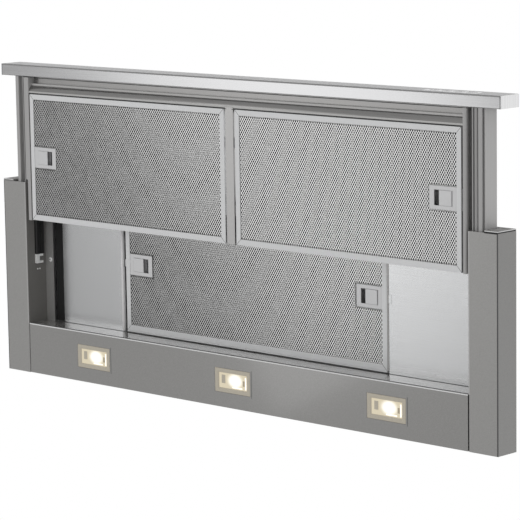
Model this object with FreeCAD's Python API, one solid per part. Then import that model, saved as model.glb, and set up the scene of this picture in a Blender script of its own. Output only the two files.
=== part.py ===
"""Telescopic range hood, 90 cm class: slim blower box, slide-out filter tray, rear lamp panel.

Drawn in millimetres with X to the right, Y = 0 at the front ends of the side casings and
Z = 0 at their bottom faces. save() moves every piece so that the origin is the middle of the
four cabinet screws, on the top face. The tray is drawn pulled out.
"""
import FreeCAD, Part
import math
import os

Vector = FreeCAD.Vector

# Overall sizes
FASCIA_WIDTH = 898.0
BODY_WIDTH = 892.0
BODY_DEPTH = 272.0
SIDE_HEIGHT = 36.0
FLAT_HEIGHT = 44.0
TOTAL_HEIGHT = 203.0
SHEET = 1.0
PAST = 1.0  # how far a cutter runs past the faces that it cuts

# Side casings, guides and top pan
CASING_INNER = 401.0
CASING_LIP = 30.4
CASING_HEM = 32.8
CASING_FLANGE = 385.0
CAP_INNER = 425.5
CAP_ARM = 411.0
CAP_FRONT = -2.6
CAP_GAP = 1.7
CAP_NECK = 6.0
CAP_PLUG = (12.0, 1.5)
CAP_PLUG_RIM = 4.0
CAP_SLOT = (12.0, 2.5, 0.6)
CAP_SLOT_Z = 27.2
GUIDE_BACK = 423.0
GUIDE_WALL = 1.4
GUIDE_LIP = 5.0
GUIDE_PLAY = 0.6
GUIDE_LUG = 12.0
GUIDE_LUG_Y = (40.0, 220.0)
PAN_LIP = 4.0
PAN_INTAKE_FRONT = 5.0
CEILING_WIDTH = 734.0
CEILING_LOW = 38.0
CEILING_FRONT = 2.0
SEAL_PLAY = 0.6
SEAL_THICK = 3.0
SEAL_FRONT = 16.0
SCREW_X = 390.5
SCREW_Y = 113.0
SCREW_PITCH = 94.0
SCREW_HEAD = (3.3, 1.6)
SCREW_SIDES = 8
CABINET_HOLE_X = 376.0
CABINET_HOLE_Y = (11.0, 211.0)
CABINET_HOLE_R = 2.75

# Slide strips on the casings' inner walls
RUNNER_X = (396.8, 401.0)
RUNNER_Z = (14.8, 30.2)
RUNNER_FRONT = 1.0
RUNNER_REAR = 104.0
RUNNER_EDGE = 1.2
RUNNER_GROOVE = 2.4
GLIDE_LENGTH = 13.0
GLIDE_HIGH = 27.0
GLIDE_MOUTH = 20.4
GLIDE_ARM = 3.2

# Rear lamp panel
LAMP_PANEL_FRONT = 201.0
LAMP_PANEL_HALF = 399.5
LAMP_PITCH = 268.0
LAMP_Y = 235.5
LAMP_SIZE = (64.0, 32.0)
LAMP_PLAY = 0.6
LENS_SIZE = (50.0, 20.0)
LENS_RIM = 2.6
LENS_Z = (1.2, 3.0)
BEZEL_DEPTH = 6.0
BEZEL_FLANGE = (5.0, 1.2)
BEZEL_SLOPE = 4.0
BEZEL_SEAT = 3.0
LED_BOARD = (8.0, 1.6)
LED_SOURCE = (8.0, 1.2)
LED_PLUG = (9.0, 8.0, 6.0)
LED_PLUG_SHIFT = 20.0

# Fascia and its flush controls
FASCIA_FRONT = -165.0
FASCIA_REAR = -149.0
FASCIA_LOW = 4.0
FASCIA_HIGH = 38.4
FASCIA_END = 1.5
FASCIA_LIP = 6.0
END_PLUG = 8.0
END_WALL = 2.0
BUTTON_COUNT = 4
BUTTON_SIZE = (14.0, 7.0)
BUTTON_PITCH = 20.0
BUTTON_FIRST_X = 330.0
BUTTON_Z = 21.2
BUTTON_SUNK = 0.2
BUTTON_CAP = 3.5
BUTTON_EDGE = 0.4
BUTTON_PLAY = 0.8
BUTTON_STEM = (5.0, 4.0, 2.5)
CONTROL_RIM = (4.0, 2.5)
CONTROL_FLANGE = 2.0
CONTROL_DEPTH = 4.0
SWITCH_BOARD = (12.0, 1.6, 16.0)
SWITCH_BLOCK = (6.0, 4.0)
SWITCH_POST = 5.0

# Slide-out tray
TRAY_REAR = 53.5
TRAY_WALL = 391.0
TRAY_TOP = 32.0
TRAY_ROLL = 5.0
TRAY_ROLL_R = 3.0
TRAY_LOW = 2.4
RAIL_INNER = 404.0
RAIL_OUTER = 422.4
RAIL_Z = (4.0, 29.0)
RAIL_REAR = 106.0
RAIL_WALL = 1.3
RAIL_RIB = (408.0, 410.4)
RAIL_MIDDLE = (413.6, 419.3)
RAIL_RISE = 2.4
RAIL_SLIT_DEEP = 9.0
RAIL_FOOT = 2.0
SEPARATOR_HALF = 7.3
SEPARATOR_FOOT = 1.4
CHANNEL_GAP = 2.0
CHANNEL_ROOF = 13.0
CHANNEL_FLAT = 11.0
CHANNEL_LIP = 3.0
CHANNEL_WALL = 15.0
CHANNEL_COVER = 8.0
REAR_BAR_DEPTH = 10.5
REAR_BAR_Z = (12.0, 15.0)

# Grease filters and their latches
FILTER_THICK = 9.0
FILTER_SKIN = 0.8
FILTER_BORDER = 8.0
TRAY_FILTER_X = (9.7, 389.5)
TRAY_FILTER_Y = (-125.5, 52.5)
TRAY_FILTER_LOW = 2.2
REAR_FILTER_HALF = 238.0
REAR_FILTER_Y = (12.0, 198.0)
REAR_FILTER_LOW = 37.5
INTAKE_HALF = 246.0
INTAKE_HEM = 4.0
INTAKE_GAP = 2.4
LATCH_PLATE = (43.5, 29.0)
LATCH_SUNK = 0.4
LATCH_PAD = (20.0, 19.4)
LATCH_PAD_Z = (-0.8, 0.2)
LATCH_PAD_START = 7.5
LATCH_PAD_EDGE = 0.4
LATCH_SLOT = 8.2
LATCH_WALL = 1.0
LATCH_PLAY = 0.5
LATCH_STEM = (6.0, 18.0, 3.0)
LATCH_KEEPER = (5.0, 19.0, 4.0)
KEEPER_PLAY = 0.3
TONGUE = (10.0, 2.0)
TONGUE_LOW = 4.6
TONGUE_PLAY = 3.0
TRAY_TONGUE_REACH = 1.1
REAR_TONGUE_REACH = 7.4
TAB_WIDTH = 14.0
TAB_REACH = 5.0
TAB_THICK = 1.0
TRAY_TAB_LOW = 1.8
REAR_TAB_LOW = 2.0

# Blower box, fan and outlet
BOX_HALF = 263.0
BOX_Y = (4.0, 268.0)
BOX_TOP = 168.0
BOX_FOOT = 8.0
OUTLET_STEP = 1.5
OUTLET_MARGIN = (6.0, 4.0)
FAN_X = -130.0
FAN_Y = 124.0
SCROLL_Z = (70.0, 116.0, BOX_TOP - SHEET)
SCROLL_WALL = 2.0
SCROLL_START_R = 104.0
SCROLL_STEP = 12.0
TONGUE_RISE = 24.0
NOSE_R = 6.0
INLET_R = 76.0
IMPELLER_R = 92.0
BLADE_ROOT_R = 76.0
BLADE_COUNT = 23
BLADE_SWEEP_DEG = 7.0
BLADE_BEND = 0.2
BLADE_THICK = (1.0, 0.7)
BLADE_Z = (82.0, 149.0)
IMPELLER_PLATE = 2.0
IMPELLER_CUP = 3.0
SHROUD = (6.0, 3.0)
MOTOR_R = 42.0
MOTOR_LOW = 106.0
HUB_LOW = 96.0
SHAFT_R = 4.0
SHAFT_TIP = 6.0
SHAFT_TOP = 145.5
SHAFT_CLEARANCE = 0.05
SHAFT_END_GAP = 0.5
COLLAR_X = 140.0
COLLAR_Y = 178.0
COLLAR_R = 74.5
COLLAR_WALL = 3.0
COLLAR_FLANGE = (13.0, 2.0)
FLAP_Z = 182.0
FLAP_R = 70.3
FLAP_THICK = 1.2
FLAP_PLAY = 0.4
FLAP_SPAN = (2.0, 55.0)
PIN_R = 1.5
KNUCKLE_R = (1.6, 2.8)
ELECTRONICS_X = (122.0, 238.0)
ELECTRONICS_Z = (84.0, 128.0)
ELECTRONICS_DEPTH = 70.0
ELECTRONICS_RIM = 3.0
CAPACITOR_X = (40.0, 92.0)
CAPACITOR_Z = (84.0, 116.0)
CAPACITOR_DEPTH = 22.0
CAPACITOR_STRAP = (12.0, 1.0)
GLAND_ACROSS = 21.0
GLAND_BORE_R = 4.5
GLAND_LENGTH = 6.0
GLAND_WALL_PLAY = 1.0
GLAND_XZ = (-200.0, 140.0)

ORIGIN = Vector(0, sum(CABINET_HOLE_Y) / 2, FLAT_HEIGHT)


# Small helpers

def box(x, y, z):
    """A block between pairs of limits."""
    return Part.makeBox(x[1] - x[0], y[1] - y[0], z[1] - z[0], Vector(x[0], y[0], z[0]))


def around(centre, size):
    """The pair of limits of a stretch centred on a value."""
    return (centre - size / 2, centre + size / 2)


def inset(span, margin):
    """A stretch made shorter at both ends, or longer with a negative margin."""
    return (span[0] + margin, span[1] - margin)


def place(point, axis, at):
    """A 2D profile point in the plane across an axis."""
    a, b = point
    return {"x": Vector(at, a, b), "y": Vector(a, at, b), "z": Vector(a, b, at)}[axis]


def direction(axis):
    """The unit vector of an axis letter."""
    return {"x": Vector(1, 0, 0), "y": Vector(0, 1, 0), "z": Vector(0, 0, 1)}[axis]


def prism(points, axis, span):
    """A closed 2D outline pulled along an axis."""
    corners = [place(p, axis, span[0]) for p in points]
    face = Part.Face(Part.makePolygon(corners + corners[:1]))
    return face.extrude(direction(axis) * (span[1] - span[0]))


def folded(points, axis, span, thickness):
    """Sheet metal folded along an open 2D line, with the thickness on one side of it."""
    line = Part.makePolygon([place(p, axis, span[0]) for p in points])
    section = line.makeOffset2D(thickness, 0, True, True)
    return section.Faces[0].extrude(direction(axis) * (span[1] - span[0]))


def rounded_corner(before, corner, after, radius):
    """Start, middle and end of the arc that rounds a corner between two straight runs."""
    back = (before - corner).normalize()
    ahead = (after - corner).normalize()
    half = back.getAngle(ahead) / 2
    reach = radius / math.tan(half)
    middle = corner + (back + ahead).normalize() * (radius / math.sin(half) - radius)
    return corner + back * reach, middle, corner + ahead * reach


def rod(radius, axis, centre, span):
    """A round bar along an axis, through a 2D centre."""
    length = span[1] - span[0]
    return Part.makeCylinder(radius, length, place(centre, axis, span[0]), direction(axis))


def turned(profile, centre):
    """A profile of (radius, height) points turned about an upright axis."""
    corners = [Vector(r, 0, z) for r, z in profile]
    face = Part.Face(Part.makePolygon(corners + corners[:1]))
    solid = face.revolve(Vector(0, 0, 0), Vector(0, 0, 1), 360)
    return solid.translated(Vector(centre[0], centre[1], 0))


def mirrored(shape):
    """The same piece for the other side of the mid-plane."""
    return shape.mirror(Vector(0, 0, 0), Vector(1, 0, 0))


def save(name, shape):
    """One node, moved to the mount's origin."""
    shape.translated(ORIGIN * -1).exportStep("parts/" + name + ".step")


def save_pair(name, right):
    """A right-hand piece and its mirrored left-hand twin."""
    save("right_" + name, right)
    save("left_" + name, mirrored(right))


# Fixed body

def top_pan():
    """Top sheet with lowered wings, rear apron, intake opening and cabinet screw holes."""
    wing_top = SIDE_HEIGHT + SHEET
    edge = BODY_WIDTH / 2 - SHEET
    crown = CASING_FLANGE + SHEET
    flat_low = FLAT_HEIGHT - SHEET
    line = [(-edge, wing_top - SHEET), (-crown, wing_top - SHEET), (-crown, flat_low),
            (crown, flat_low), (crown, wing_top - SHEET), (edge, wing_top - SHEET)]
    pan = folded(line, "y", (0, BODY_DEPTH), SHEET)
    apron = box((-crown, crown), (BODY_DEPTH - SHEET, BODY_DEPTH), (SIDE_HEIGHT, flat_low))
    front_lip = box((-crown, crown), (0, SHEET), (FLAT_HEIGHT - PAN_LIP, flat_low))
    pan = pan.fuse([apron, front_lip])
    hem = INTAKE_HALF + INTAKE_HEM
    through = (flat_low - PAST, FLAT_HEIGHT + PAST)
    pan = pan.cut(box((-hem, hem), (PAN_INTAKE_FRONT, LAMP_PANEL_FRONT - SHEET), through))
    for x in (-CABINET_HOLE_X, CABINET_HOLE_X):
        for y in CABINET_HOLE_Y:
            pan = pan.cut(rod(CABINET_HOLE_R, "z", (x, y), through))
    return pan.removeSplitter()


def ceiling_plate():
    """Light liner under the pan, folded up at both ends, with a hemmed intake."""
    half = CEILING_WIDTH / 2
    depth = (CEILING_FRONT, LAMP_PANEL_FRONT - SHEET / 2)
    line = [(-half + SHEET, FLAT_HEIGHT - SHEET), (-half + SHEET, CEILING_LOW + SHEET),
            (half - SHEET, CEILING_LOW + SHEET), (half - SHEET, FLAT_HEIGHT - SHEET)]
    plate = folded(line, "y", depth, -SHEET)
    hem = INTAKE_HALF + INTAKE_HEM
    front = REAR_FILTER_Y[0] - INTAKE_GAP
    rim_low = CEILING_LOW - SHEET
    rim = box((-hem, hem), (front - INTAKE_HEM, depth[1]), (rim_low, CEILING_LOW))
    through = (rim_low - PAST, CEILING_LOW + SHEET + PAST)
    gap = box((-INTAKE_HALF, INTAKE_HALF), (front, depth[1] + PAST), through)
    return plate.fuse(rim).cut(gap).removeSplitter()


def side_casing():
    """Folded side channel: inner wall, bottom, outer wall and top flange, with a slot for the tray's web."""
    outer = BODY_WIDTH / 2 - SHEET
    inner = CASING_INNER + SHEET
    roof = SIDE_HEIGHT - SHEET
    line = [(inner, CASING_LIP), (inner, SHEET), (outer, SHEET), (outer, roof), (CASING_FLANGE, roof)]
    casing = folded(line, "y", (0, BODY_DEPTH), -SHEET)
    back = box((inner, outer), (BODY_DEPTH - SHEET, BODY_DEPTH), (SHEET, roof))
    hem = box((CASING_INNER, inner), (0, BODY_DEPTH), (CASING_HEM, roof))
    return casing.fuse([back, hem]).removeSplitter()


def casing_cap():
    """L-shaped end cap that leaves the mouth open for the tray rail, on a hollow plug."""
    outer = BODY_WIDTH / 2
    mouth_top = RAIL_Z[1] + SHEET
    plate_line = [(CAP_INNER, 0), (outer, 0), (outer, SIDE_HEIGHT), (CAP_ARM, SIDE_HEIGHT),
                  (CAP_ARM, mouth_top), (CAP_INNER, mouth_top)]
    plate = prism(plate_line, "y", (CAP_FRONT, -CAP_GAP))
    depth, wall = CAP_PLUG
    plug_x = (GUIDE_BACK + GUIDE_WALL + SHEET / 2, outer - SHEET)
    plug_z = (SHEET, SIDE_HEIGHT - SHEET)
    plug = box(plug_x, (SHEET, depth), plug_z)
    neck = box(inset(plug_x, CAP_NECK), (-CAP_GAP, SHEET), inset(plug_z, CAP_NECK))
    hollow = box(inset(plug_x, wall), (2 * SHEET, depth + PAST), inset((0, SIDE_HEIGHT), CAP_PLUG_RIM))
    width, height, deep = CAP_SLOT
    slot = box(around((CAP_INNER + outer) / 2, width), (CAP_FRONT - PAST, CAP_FRONT + deep),
               around(CAP_SLOT_Z, height))
    return plate.fuse([neck, plug]).cut(hollow.fuse(slot)).removeSplitter()


def guide_rail():
    """Fixed C-shaped guide that the tray rail runs in, with lugs to the casing wall."""
    start = CASING_INNER + GUIDE_LIP
    back = GUIDE_BACK + GUIDE_WALL
    low, high = RAIL_Z[0] - GUIDE_PLAY, RAIL_Z[1] + GUIDE_PLAY
    top = high + GUIDE_WALL
    line = [(start, SHEET), (back, SHEET), (back, top), (CAP_ARM, top), (CAP_ARM, high),
            (GUIDE_BACK, high), (GUIDE_BACK, low), (start, low)]
    guide = prism(line, "y", (SHEET, BODY_DEPTH - RAIL_Z[0]))
    for y in GUIDE_LUG_Y:
        guide = guide.fuse(box((back, BODY_WIDTH / 2 - SHEET), around(y, GUIDE_LUG), (SHEET, GUIDE_LUG)))
    return guide.removeSplitter()


def seal_strip():
    """Foam strip under the pan, in the gap between the liner and the casing's flange."""
    x = inset((CEILING_WIDTH / 2, CASING_FLANGE), SEAL_PLAY)
    high = FLAT_HEIGHT - SHEET
    return box(x, (SEAL_FRONT, LAMP_PANEL_FRONT - SHEET), (high - SEAL_THICK, high))


def casing_screws():
    """Heads of the screws that hold the top pan on the casings' top flanges."""
    seat = SIDE_HEIGHT - SHEET
    radius, height = SCREW_HEAD
    bearings = [2 * math.pi * i / SCREW_SIDES for i in range(SCREW_SIDES)]
    heads = []
    for x in (-SCREW_X, SCREW_X):
        for step in (-1, 0, 1):
            y = SCREW_Y + step * SCREW_PITCH
            rim = [(x + radius * math.cos(a), y + radius * math.sin(a)) for a in bearings]
            heads.append(prism(rim, "z", (seat - height, seat)))
    return Part.Compound(heads)


def lamp_panel():
    """Rear cover folded from one sheet, with three lamp cut-outs and ends notched for the flanges."""
    rear = BODY_DEPTH - SHEET
    front = LAMP_PANEL_FRONT + SHEET
    line = [(front, CEILING_LOW), (front, SHEET), (rear, SHEET), (rear, SIDE_HEIGHT)]
    panel = folded(line, "x", (-LAMP_PANEL_HALF, LAMP_PANEL_HALF), SHEET)
    for step in (-1, 0, 1):
        hole_x = around(step * LAMP_PITCH, LAMP_SIZE[0] + LAMP_PLAY)
        hole_y = around(LAMP_Y, LAMP_SIZE[1] + LAMP_PLAY)
        panel = panel.cut(box(hole_x, hole_y, (-PAST, SHEET + PAST)))
    notch = box((CASING_FLANGE - SHEET, LAMP_PANEL_HALF + PAST), (LAMP_PANEL_FRONT - PAST, BODY_DEPTH + PAST),
                (SIDE_HEIGHT - SHEET, FLAT_HEIGHT))
    return panel.cut(notch.fuse(mirrored(notch))).removeSplitter()


def lamp_bezel(x):
    """One lamp frame: a stepped ring with a sloped throat and a seat for the lens."""
    wide, deep = LENS_SIZE
    ring = box(around(x, LAMP_SIZE[0]), around(LAMP_Y, LAMP_SIZE[1]), (0, BEZEL_DEPTH))
    reach, thick = BEZEL_FLANGE
    flange = box(around(x, LAMP_SIZE[0] + reach), around(LAMP_Y, LAMP_SIZE[1] + reach),
                 (SHEET, SHEET + thick))
    mouth = Part.makePolygon(rectangle(x, LAMP_Y, wide + BEZEL_SLOPE, deep + BEZEL_SLOPE, 0))
    throat = Part.makePolygon(rectangle(x, LAMP_Y, wide, deep, LENS_Z[0]))
    slope = Part.makeLoft([mouth, throat], True, True)
    seat = box(around(x, wide + BEZEL_SEAT), around(LAMP_Y, deep + BEZEL_SEAT),
               (LENS_Z[0], BEZEL_DEPTH + PAST))
    return ring.fuse(flange).cut(slope).cut(seat).removeSplitter()


def rectangle(x, y, width, depth, z):
    """The closed corner list of a level rectangle."""
    x0, x1 = around(x, width)
    y0, y1 = around(y, depth)
    corners = [Vector(x0, y0, z), Vector(x1, y0, z), Vector(x1, y1, z), Vector(x0, y1, z)]
    return corners + corners[:1]


def lamp_lens(x):
    """Clear cover plate seated in the bezel."""
    return box(around(x, LENS_SIZE[0] + LENS_RIM), around(LAMP_Y, LENS_SIZE[1] + LENS_RIM), LENS_Z)


def led_module(x):
    """Circuit strip on top of the bezel with the light source and its plug block below and above."""
    margin, thick = LED_BOARD
    top = BEZEL_DEPTH + thick
    strip = box(around(x, LENS_SIZE[0] + margin), around(LAMP_Y, LENS_SIZE[1] + margin), (BEZEL_DEPTH, top))
    size, drop = LED_SOURCE
    source = box(around(x, size), around(LAMP_Y, size), (BEZEL_DEPTH - drop, BEZEL_DEPTH))
    wide, deep, high = LED_PLUG
    plug = box(around(x - LED_PLUG_SHIFT, wide), around(LAMP_Y, deep), (top, top + high))
    return strip.fuse([source, plug])


# Blower box and fan

def motor_housing():
    """Sheet-metal blower box, open below, with an inward foot flange and the outlet hole."""
    outer = box((-BOX_HALF, BOX_HALF), BOX_Y, (FLAT_HEIGHT, BOX_TOP))
    inner_x = inset((-BOX_HALF, BOX_HALF), SHEET)
    inner_y = inset(BOX_Y, SHEET)
    shell = outer.cut(box(inner_x, inner_y, inset((FLAT_HEIGHT, BOX_TOP), SHEET)))
    foot = box(inset(inner_x, BOX_FOOT), (inner_y[0], inner_y[1] - BOX_FOOT),
               (FLAT_HEIGHT - PAST, FLAT_HEIGHT + SHEET + PAST))
    outlet = rod(COLLAR_R - OUTLET_STEP, "z", (COLLAR_X, COLLAR_Y), (BOX_TOP - SHEET - PAST, BOX_TOP + PAST))
    inlet = rod(GLAND_BORE_R + GLAND_WALL_PLAY, "y", GLAND_XZ, (BOX_Y[1] - SHEET - PAST, BOX_Y[1] + PAST))
    return shell.cut(foot).cut(outlet).cut(inlet)


def scroll_outline(grow):
    """Line of the volute: three growing quarter turns, an outlet chamber and the tongue."""
    half = SCROLL_STEP / 2
    centres = [(FAN_X - half, FAN_Y - half), (FAN_X - half, FAN_Y + half), (FAN_X + half, FAN_Y + half)]
    edges = []
    ends = []
    for turn, (cx, cy) in enumerate(centres):
        radius = SCROLL_START_R + turn * SCROLL_STEP + grow
        bearings = [math.radians(-90 * turn - part) for part in (0, 45, 90)]
        corners = [Vector(cx + radius * math.cos(a), cy + radius * math.sin(a), 0) for a in bearings]
        ends += corners
        edges.append(Part.Arc(*corners).toShape())
    start, end = ends[0], ends[-1]
    tongue = start + Vector(0, TONGUE_RISE, 0)
    nose_r = NOSE_R - grow
    nose = tongue + Vector(nose_r, nose_r, 0)
    tip = tongue + Vector(2 * nose_r, 0, 0)
    left = COLLAR_X - COLLAR_R - OUTLET_MARGIN[0] - grow / 2
    right = COLLAR_X + COLLAR_R + OUTLET_MARGIN[0] + grow
    front = COLLAR_Y - COLLAR_R - OUTLET_MARGIN[1] - grow
    edges.append(Part.makeLine(start, tongue))
    edges.append(Part.Arc(tongue, nose, tip).toShape())
    chamber = [tip, Vector(left, front, 0), Vector(right, front, 0), Vector(right, end.y, 0), end]
    edges += Part.makePolygon(chamber).Edges
    return Part.Wire(Part.sortEdges(edges)[0])


def scroll_plate(low, high, grow=SCROLL_WALL):
    """A block with the volute's plan between two heights."""
    return Part.Face(scroll_outline(grow)).extrude(Vector(0, 0, high - low)).translated(Vector(0, 0, low))


def scroll_shell(low, high):
    """A ring of volute wall between two heights."""
    return scroll_plate(low, high).cut(scroll_plate(low, high, 0))


def scroll_lower():
    """Lower half of the fan scroll: floor with the round inlet, and wall."""
    low, split = SCROLL_Z[0], SCROLL_Z[1]
    floor = scroll_plate(low, low + SCROLL_WALL)
    floor = floor.cut(rod(INLET_R, "z", (FAN_X, FAN_Y), (low - PAST, low + SCROLL_WALL + PAST)))
    return floor.fuse(scroll_shell(low + SCROLL_WALL, split)).removeSplitter()


def scroll_upper():
    """Upper half of the fan scroll: the wall up to the box top, which closes it."""
    return scroll_shell(SCROLL_Z[1], SCROLL_Z[2])


def fan_motor():
    """Motor can that hangs from the box top into the impeller, with its bearing bore."""
    roof = BOX_TOP - SHEET
    bore = SHAFT_R + SHAFT_CLEARANCE
    bore_top = SHAFT_TOP + SHAFT_END_GAP
    profile = [(bore, MOTOR_LOW), (MOTOR_R, MOTOR_LOW), (MOTOR_R, roof), (0, roof), (0, bore_top),
               (bore, bore_top)]
    return turned(profile, (FAN_X, FAN_Y))


def motor_shaft():
    """Shaft that carries the impeller and turns in the motor's bore."""
    return rod(SHAFT_R, "z", (FAN_X, FAN_Y), (HUB_LOW - SHAFT_TIP, SHAFT_TOP))


def blade(low, high):
    """One forward-curved blade of the impeller, bent from a flat strip."""
    sweep = math.radians(BLADE_SWEEP_DEG)
    bend = BLADE_BEND * sweep
    thick, tip = BLADE_THICK
    middle_r = (BLADE_ROOT_R + IMPELLER_R) / 2
    tip_r = IMPELLER_R - SHEET
    bends = [(BLADE_ROOT_R, 0), (middle_r, -bend), (tip_r, -sweep), (tip_r, tip / tip_r - sweep),
             (middle_r, thick / middle_r - bend), (BLADE_ROOT_R, thick / BLADE_ROOT_R)]
    outline = [(r * math.cos(a), r * math.sin(a)) for r, a in bends]
    return prism(outline, "z", (low, high))


def impeller():
    """Squirrel-cage impeller: dished back plate, curved blades and a lower shroud ring."""
    low, top = BLADE_Z
    plate_low = top - IMPELLER_PLATE
    cup = MOTOR_R + IMPELLER_CUP
    cup_outer = cup + IMPELLER_PLATE
    hub_high = HUB_LOW + IMPELLER_CUP
    dish = [(SHAFT_R, HUB_LOW), (cup_outer, HUB_LOW), (cup_outer, plate_low), (IMPELLER_R, plate_low),
            (IMPELLER_R, top), (cup, top), (cup, hub_high), (SHAFT_R, hub_high)]
    plate = turned(dish, (0, 0))
    width, height = SHROUD
    inner = IMPELLER_R - width
    ring = [(inner, low - height), (IMPELLER_R, low - height), (IMPELLER_R, low), (inner, low)]
    shroud = turned(ring, (0, 0))
    blades = []
    for index in range(BLADE_COUNT):
        turn = blade(low, plate_low)
        turn.rotate(Vector(0, 0, 0), Vector(0, 0, 1), 360 * index / BLADE_COUNT)
        blades.append(turn)
    wheel = plate.fuse(blades + [shroud]).removeSplitter()
    return wheel.translated(Vector(FAN_X, FAN_Y, 0))


def outlet_collar():
    """Round duct spigot with its flange on top of the box."""
    inner = COLLAR_R - COLLAR_WALL
    rim = COLLAR_R + COLLAR_FLANGE[0]
    seat = BOX_TOP + COLLAR_FLANGE[1]
    profile = [(inner, BOX_TOP), (rim, BOX_TOP), (rim, seat), (COLLAR_R, seat),
               (COLLAR_R, TOTAL_HEIGHT), (inner, TOTAL_HEIGHT)]
    return turned(profile, (COLLAR_X, COLLAR_Y))


def damper_pin():
    """Hinge pin of the backdraft flaps, held between the collar's walls."""
    reach = math.sqrt((COLLAR_R - COLLAR_WALL) ** 2 - PIN_R ** 2)
    return rod(PIN_R, "y", (COLLAR_X, FLAP_Z), (COLLAR_Y - reach, COLLAR_Y + reach))


def damper_flap(side, near, far):
    """Half-round backdraft flap with its hinge knuckle on the pin."""
    level = around(FLAP_Z, FLAP_THICK)
    disc = rod(FLAP_R, "z", (COLLAR_X, COLLAR_Y), level)
    root = KNUCKLE_R[1] + FLAP_PLAY
    edges = sorted((COLLAR_X + side * root, COLLAR_X + side * COLLAR_R))
    plate = disc.common(box(edges, around(COLLAR_Y, 2 * COLLAR_R), level))
    span = (COLLAR_Y + near, COLLAR_Y + far)
    tab_x = sorted((COLLAR_X + side * PIN_R, COLLAR_X + side * (root + FLAP_PLAY / 4)))
    knuckle = rod(KNUCKLE_R[1], "y", (COLLAR_X, FLAP_Z), span)
    bore = rod(KNUCKLE_R[0], "y", (COLLAR_X, FLAP_Z), inset(span, -PAST))
    return plate.fuse([box(tab_x, span, level), knuckle]).cut(bore).removeSplitter()


def electronics_box():
    """Control box on the front wall of the blower box, with a lidded rim."""
    front = BOX_Y[0] + SHEET
    rim = ELECTRONICS_RIM
    top = ELECTRONICS_Z[1]
    body = box(ELECTRONICS_X, (front, front + ELECTRONICS_DEPTH), ELECTRONICS_Z)
    lid = box(inset(ELECTRONICS_X, -rim), (front, front + ELECTRONICS_DEPTH + rim), (top, top + rim))
    return body.fuse(lid).removeSplitter()


def capacitor():
    """Motor capacitor block, held to the front wall by a strap."""
    front = BOX_Y[0] + SHEET
    width, thick = CAPACITOR_STRAP
    block = box(CAPACITOR_X, (front, front + CAPACITOR_DEPTH), CAPACITOR_Z)
    strap = box(around(sum(CAPACITOR_X) / 2, width), (front, front + CAPACITOR_DEPTH + thick),
                inset(CAPACITOR_Z, -thick))
    return block.fuse(strap).removeSplitter()


def hexagon(across, centre, span):
    """A hexagonal prism along Y, from its width across flats."""
    radius = across / math.sqrt(3)
    corners = [(centre[0] + radius * math.cos(math.radians(60 * i)),
                centre[1] + radius * math.sin(math.radians(60 * i))) for i in range(6)]
    return prism(corners, "y", span)


def cable_gland():
    """Empty mains inlet: a hexagonal boss with a bore on the rear wall of the blower box."""
    span = (BOX_Y[1], BOX_Y[1] + GLAND_LENGTH)
    return hexagon(GLAND_ACROSS, GLAND_XZ, span).cut(rod(GLAND_BORE_R, "y", GLAND_XZ, span))


# Slide-out tray

def fascia():
    """Front strip folded from one sheet, with rear lips and a window for the controls."""
    half = FASCIA_WIDTH / 2 - FASCIA_END
    low, high = FASCIA_LOW + SHEET, FASCIA_HIGH - SHEET
    back = FASCIA_REAR - SHEET
    front = FASCIA_FRONT + SHEET
    line = [(back, low + FASCIA_LIP), (back, low), (front, low), (front, high), (back, high),
            (back, high - FASCIA_LIP)]
    strip = folded(line, "x", (-half, half), -SHEET)
    return strip.cut(control_block((FASCIA_FRONT - PAST, front + PAST), 0))


def control_block(depth, margin):
    """A block as large as the window for the controls, or larger by a margin all round."""
    wide, high = CONTROL_RIM
    return box(controls_span(wide + margin), depth, around(BUTTON_Z, BUTTON_SIZE[1] + 2 * (high + margin)))


def controls_span(margin):
    """The stretch in X that the button row takes, with a margin."""
    half = BUTTON_SIZE[0] / 2 + margin
    return (BUTTON_FIRST_X - half, BUTTON_FIRST_X + (BUTTON_COUNT - 1) * BUTTON_PITCH + half)


def fascia_end():
    """End plate of the front strip, with a hollow inner plug."""
    outer = FASCIA_WIDTH / 2
    seat = outer - FASCIA_END
    depth = (FASCIA_FRONT, FASCIA_REAR)
    height = (FASCIA_LOW, FASCIA_HIGH)
    plate = box((seat, outer), depth, height)
    plug = box((outer - END_PLUG, seat), inset(depth, END_WALL), inset(height, END_WALL))
    hollow = box((outer - END_PLUG - PAST, seat - FASCIA_END), inset(depth, 2 * END_WALL),
                 inset(height, 2 * END_WALL))
    return plate.fuse(plug).cut(hollow).removeSplitter()


def control_bezel():
    """Button surround, flush in the front strip, with its flange behind the sheet."""
    behind = FASCIA_FRONT + SHEET
    bezel = control_block((FASCIA_FRONT, FASCIA_FRONT + CONTROL_DEPTH), 0)
    bezel = bezel.fuse(control_block((behind, behind + SHEET), CONTROL_FLANGE))
    for index in range(BUTTON_COUNT):
        hole = box(around(button_x(index), BUTTON_SIZE[0] + BUTTON_PLAY),
                   (FASCIA_FRONT - PAST, FASCIA_FRONT + CONTROL_DEPTH + PAST),
                   around(BUTTON_Z, BUTTON_SIZE[1] + BUTTON_PLAY))
        bezel = bezel.cut(hole)
    return bezel.removeSplitter()


def button_x(index):
    """The middle of a button in X."""
    return BUTTON_FIRST_X + index * BUTTON_PITCH


def control_board():
    """Switch board behind the buttons, with one switch block for each, on two rear posts."""
    setback, thick, height = SWITCH_BOARD
    front = FASCIA_FRONT + setback
    size, deep = SWITCH_BLOCK
    board = box(controls_span(CONTROL_RIM[0]), (front, front + thick), around(BUTTON_Z, height))
    blocks = [box(around(button_x(i), size), (front - deep, front), around(BUTTON_Z, size))
              for i in range(BUTTON_COUNT)]
    posts = [box(around(x, SWITCH_POST), (front + thick, FASCIA_REAR), around(BUTTON_Z, SWITCH_POST))
             for x in controls_span(0)]
    return board.fuse(blocks + posts)


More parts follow.
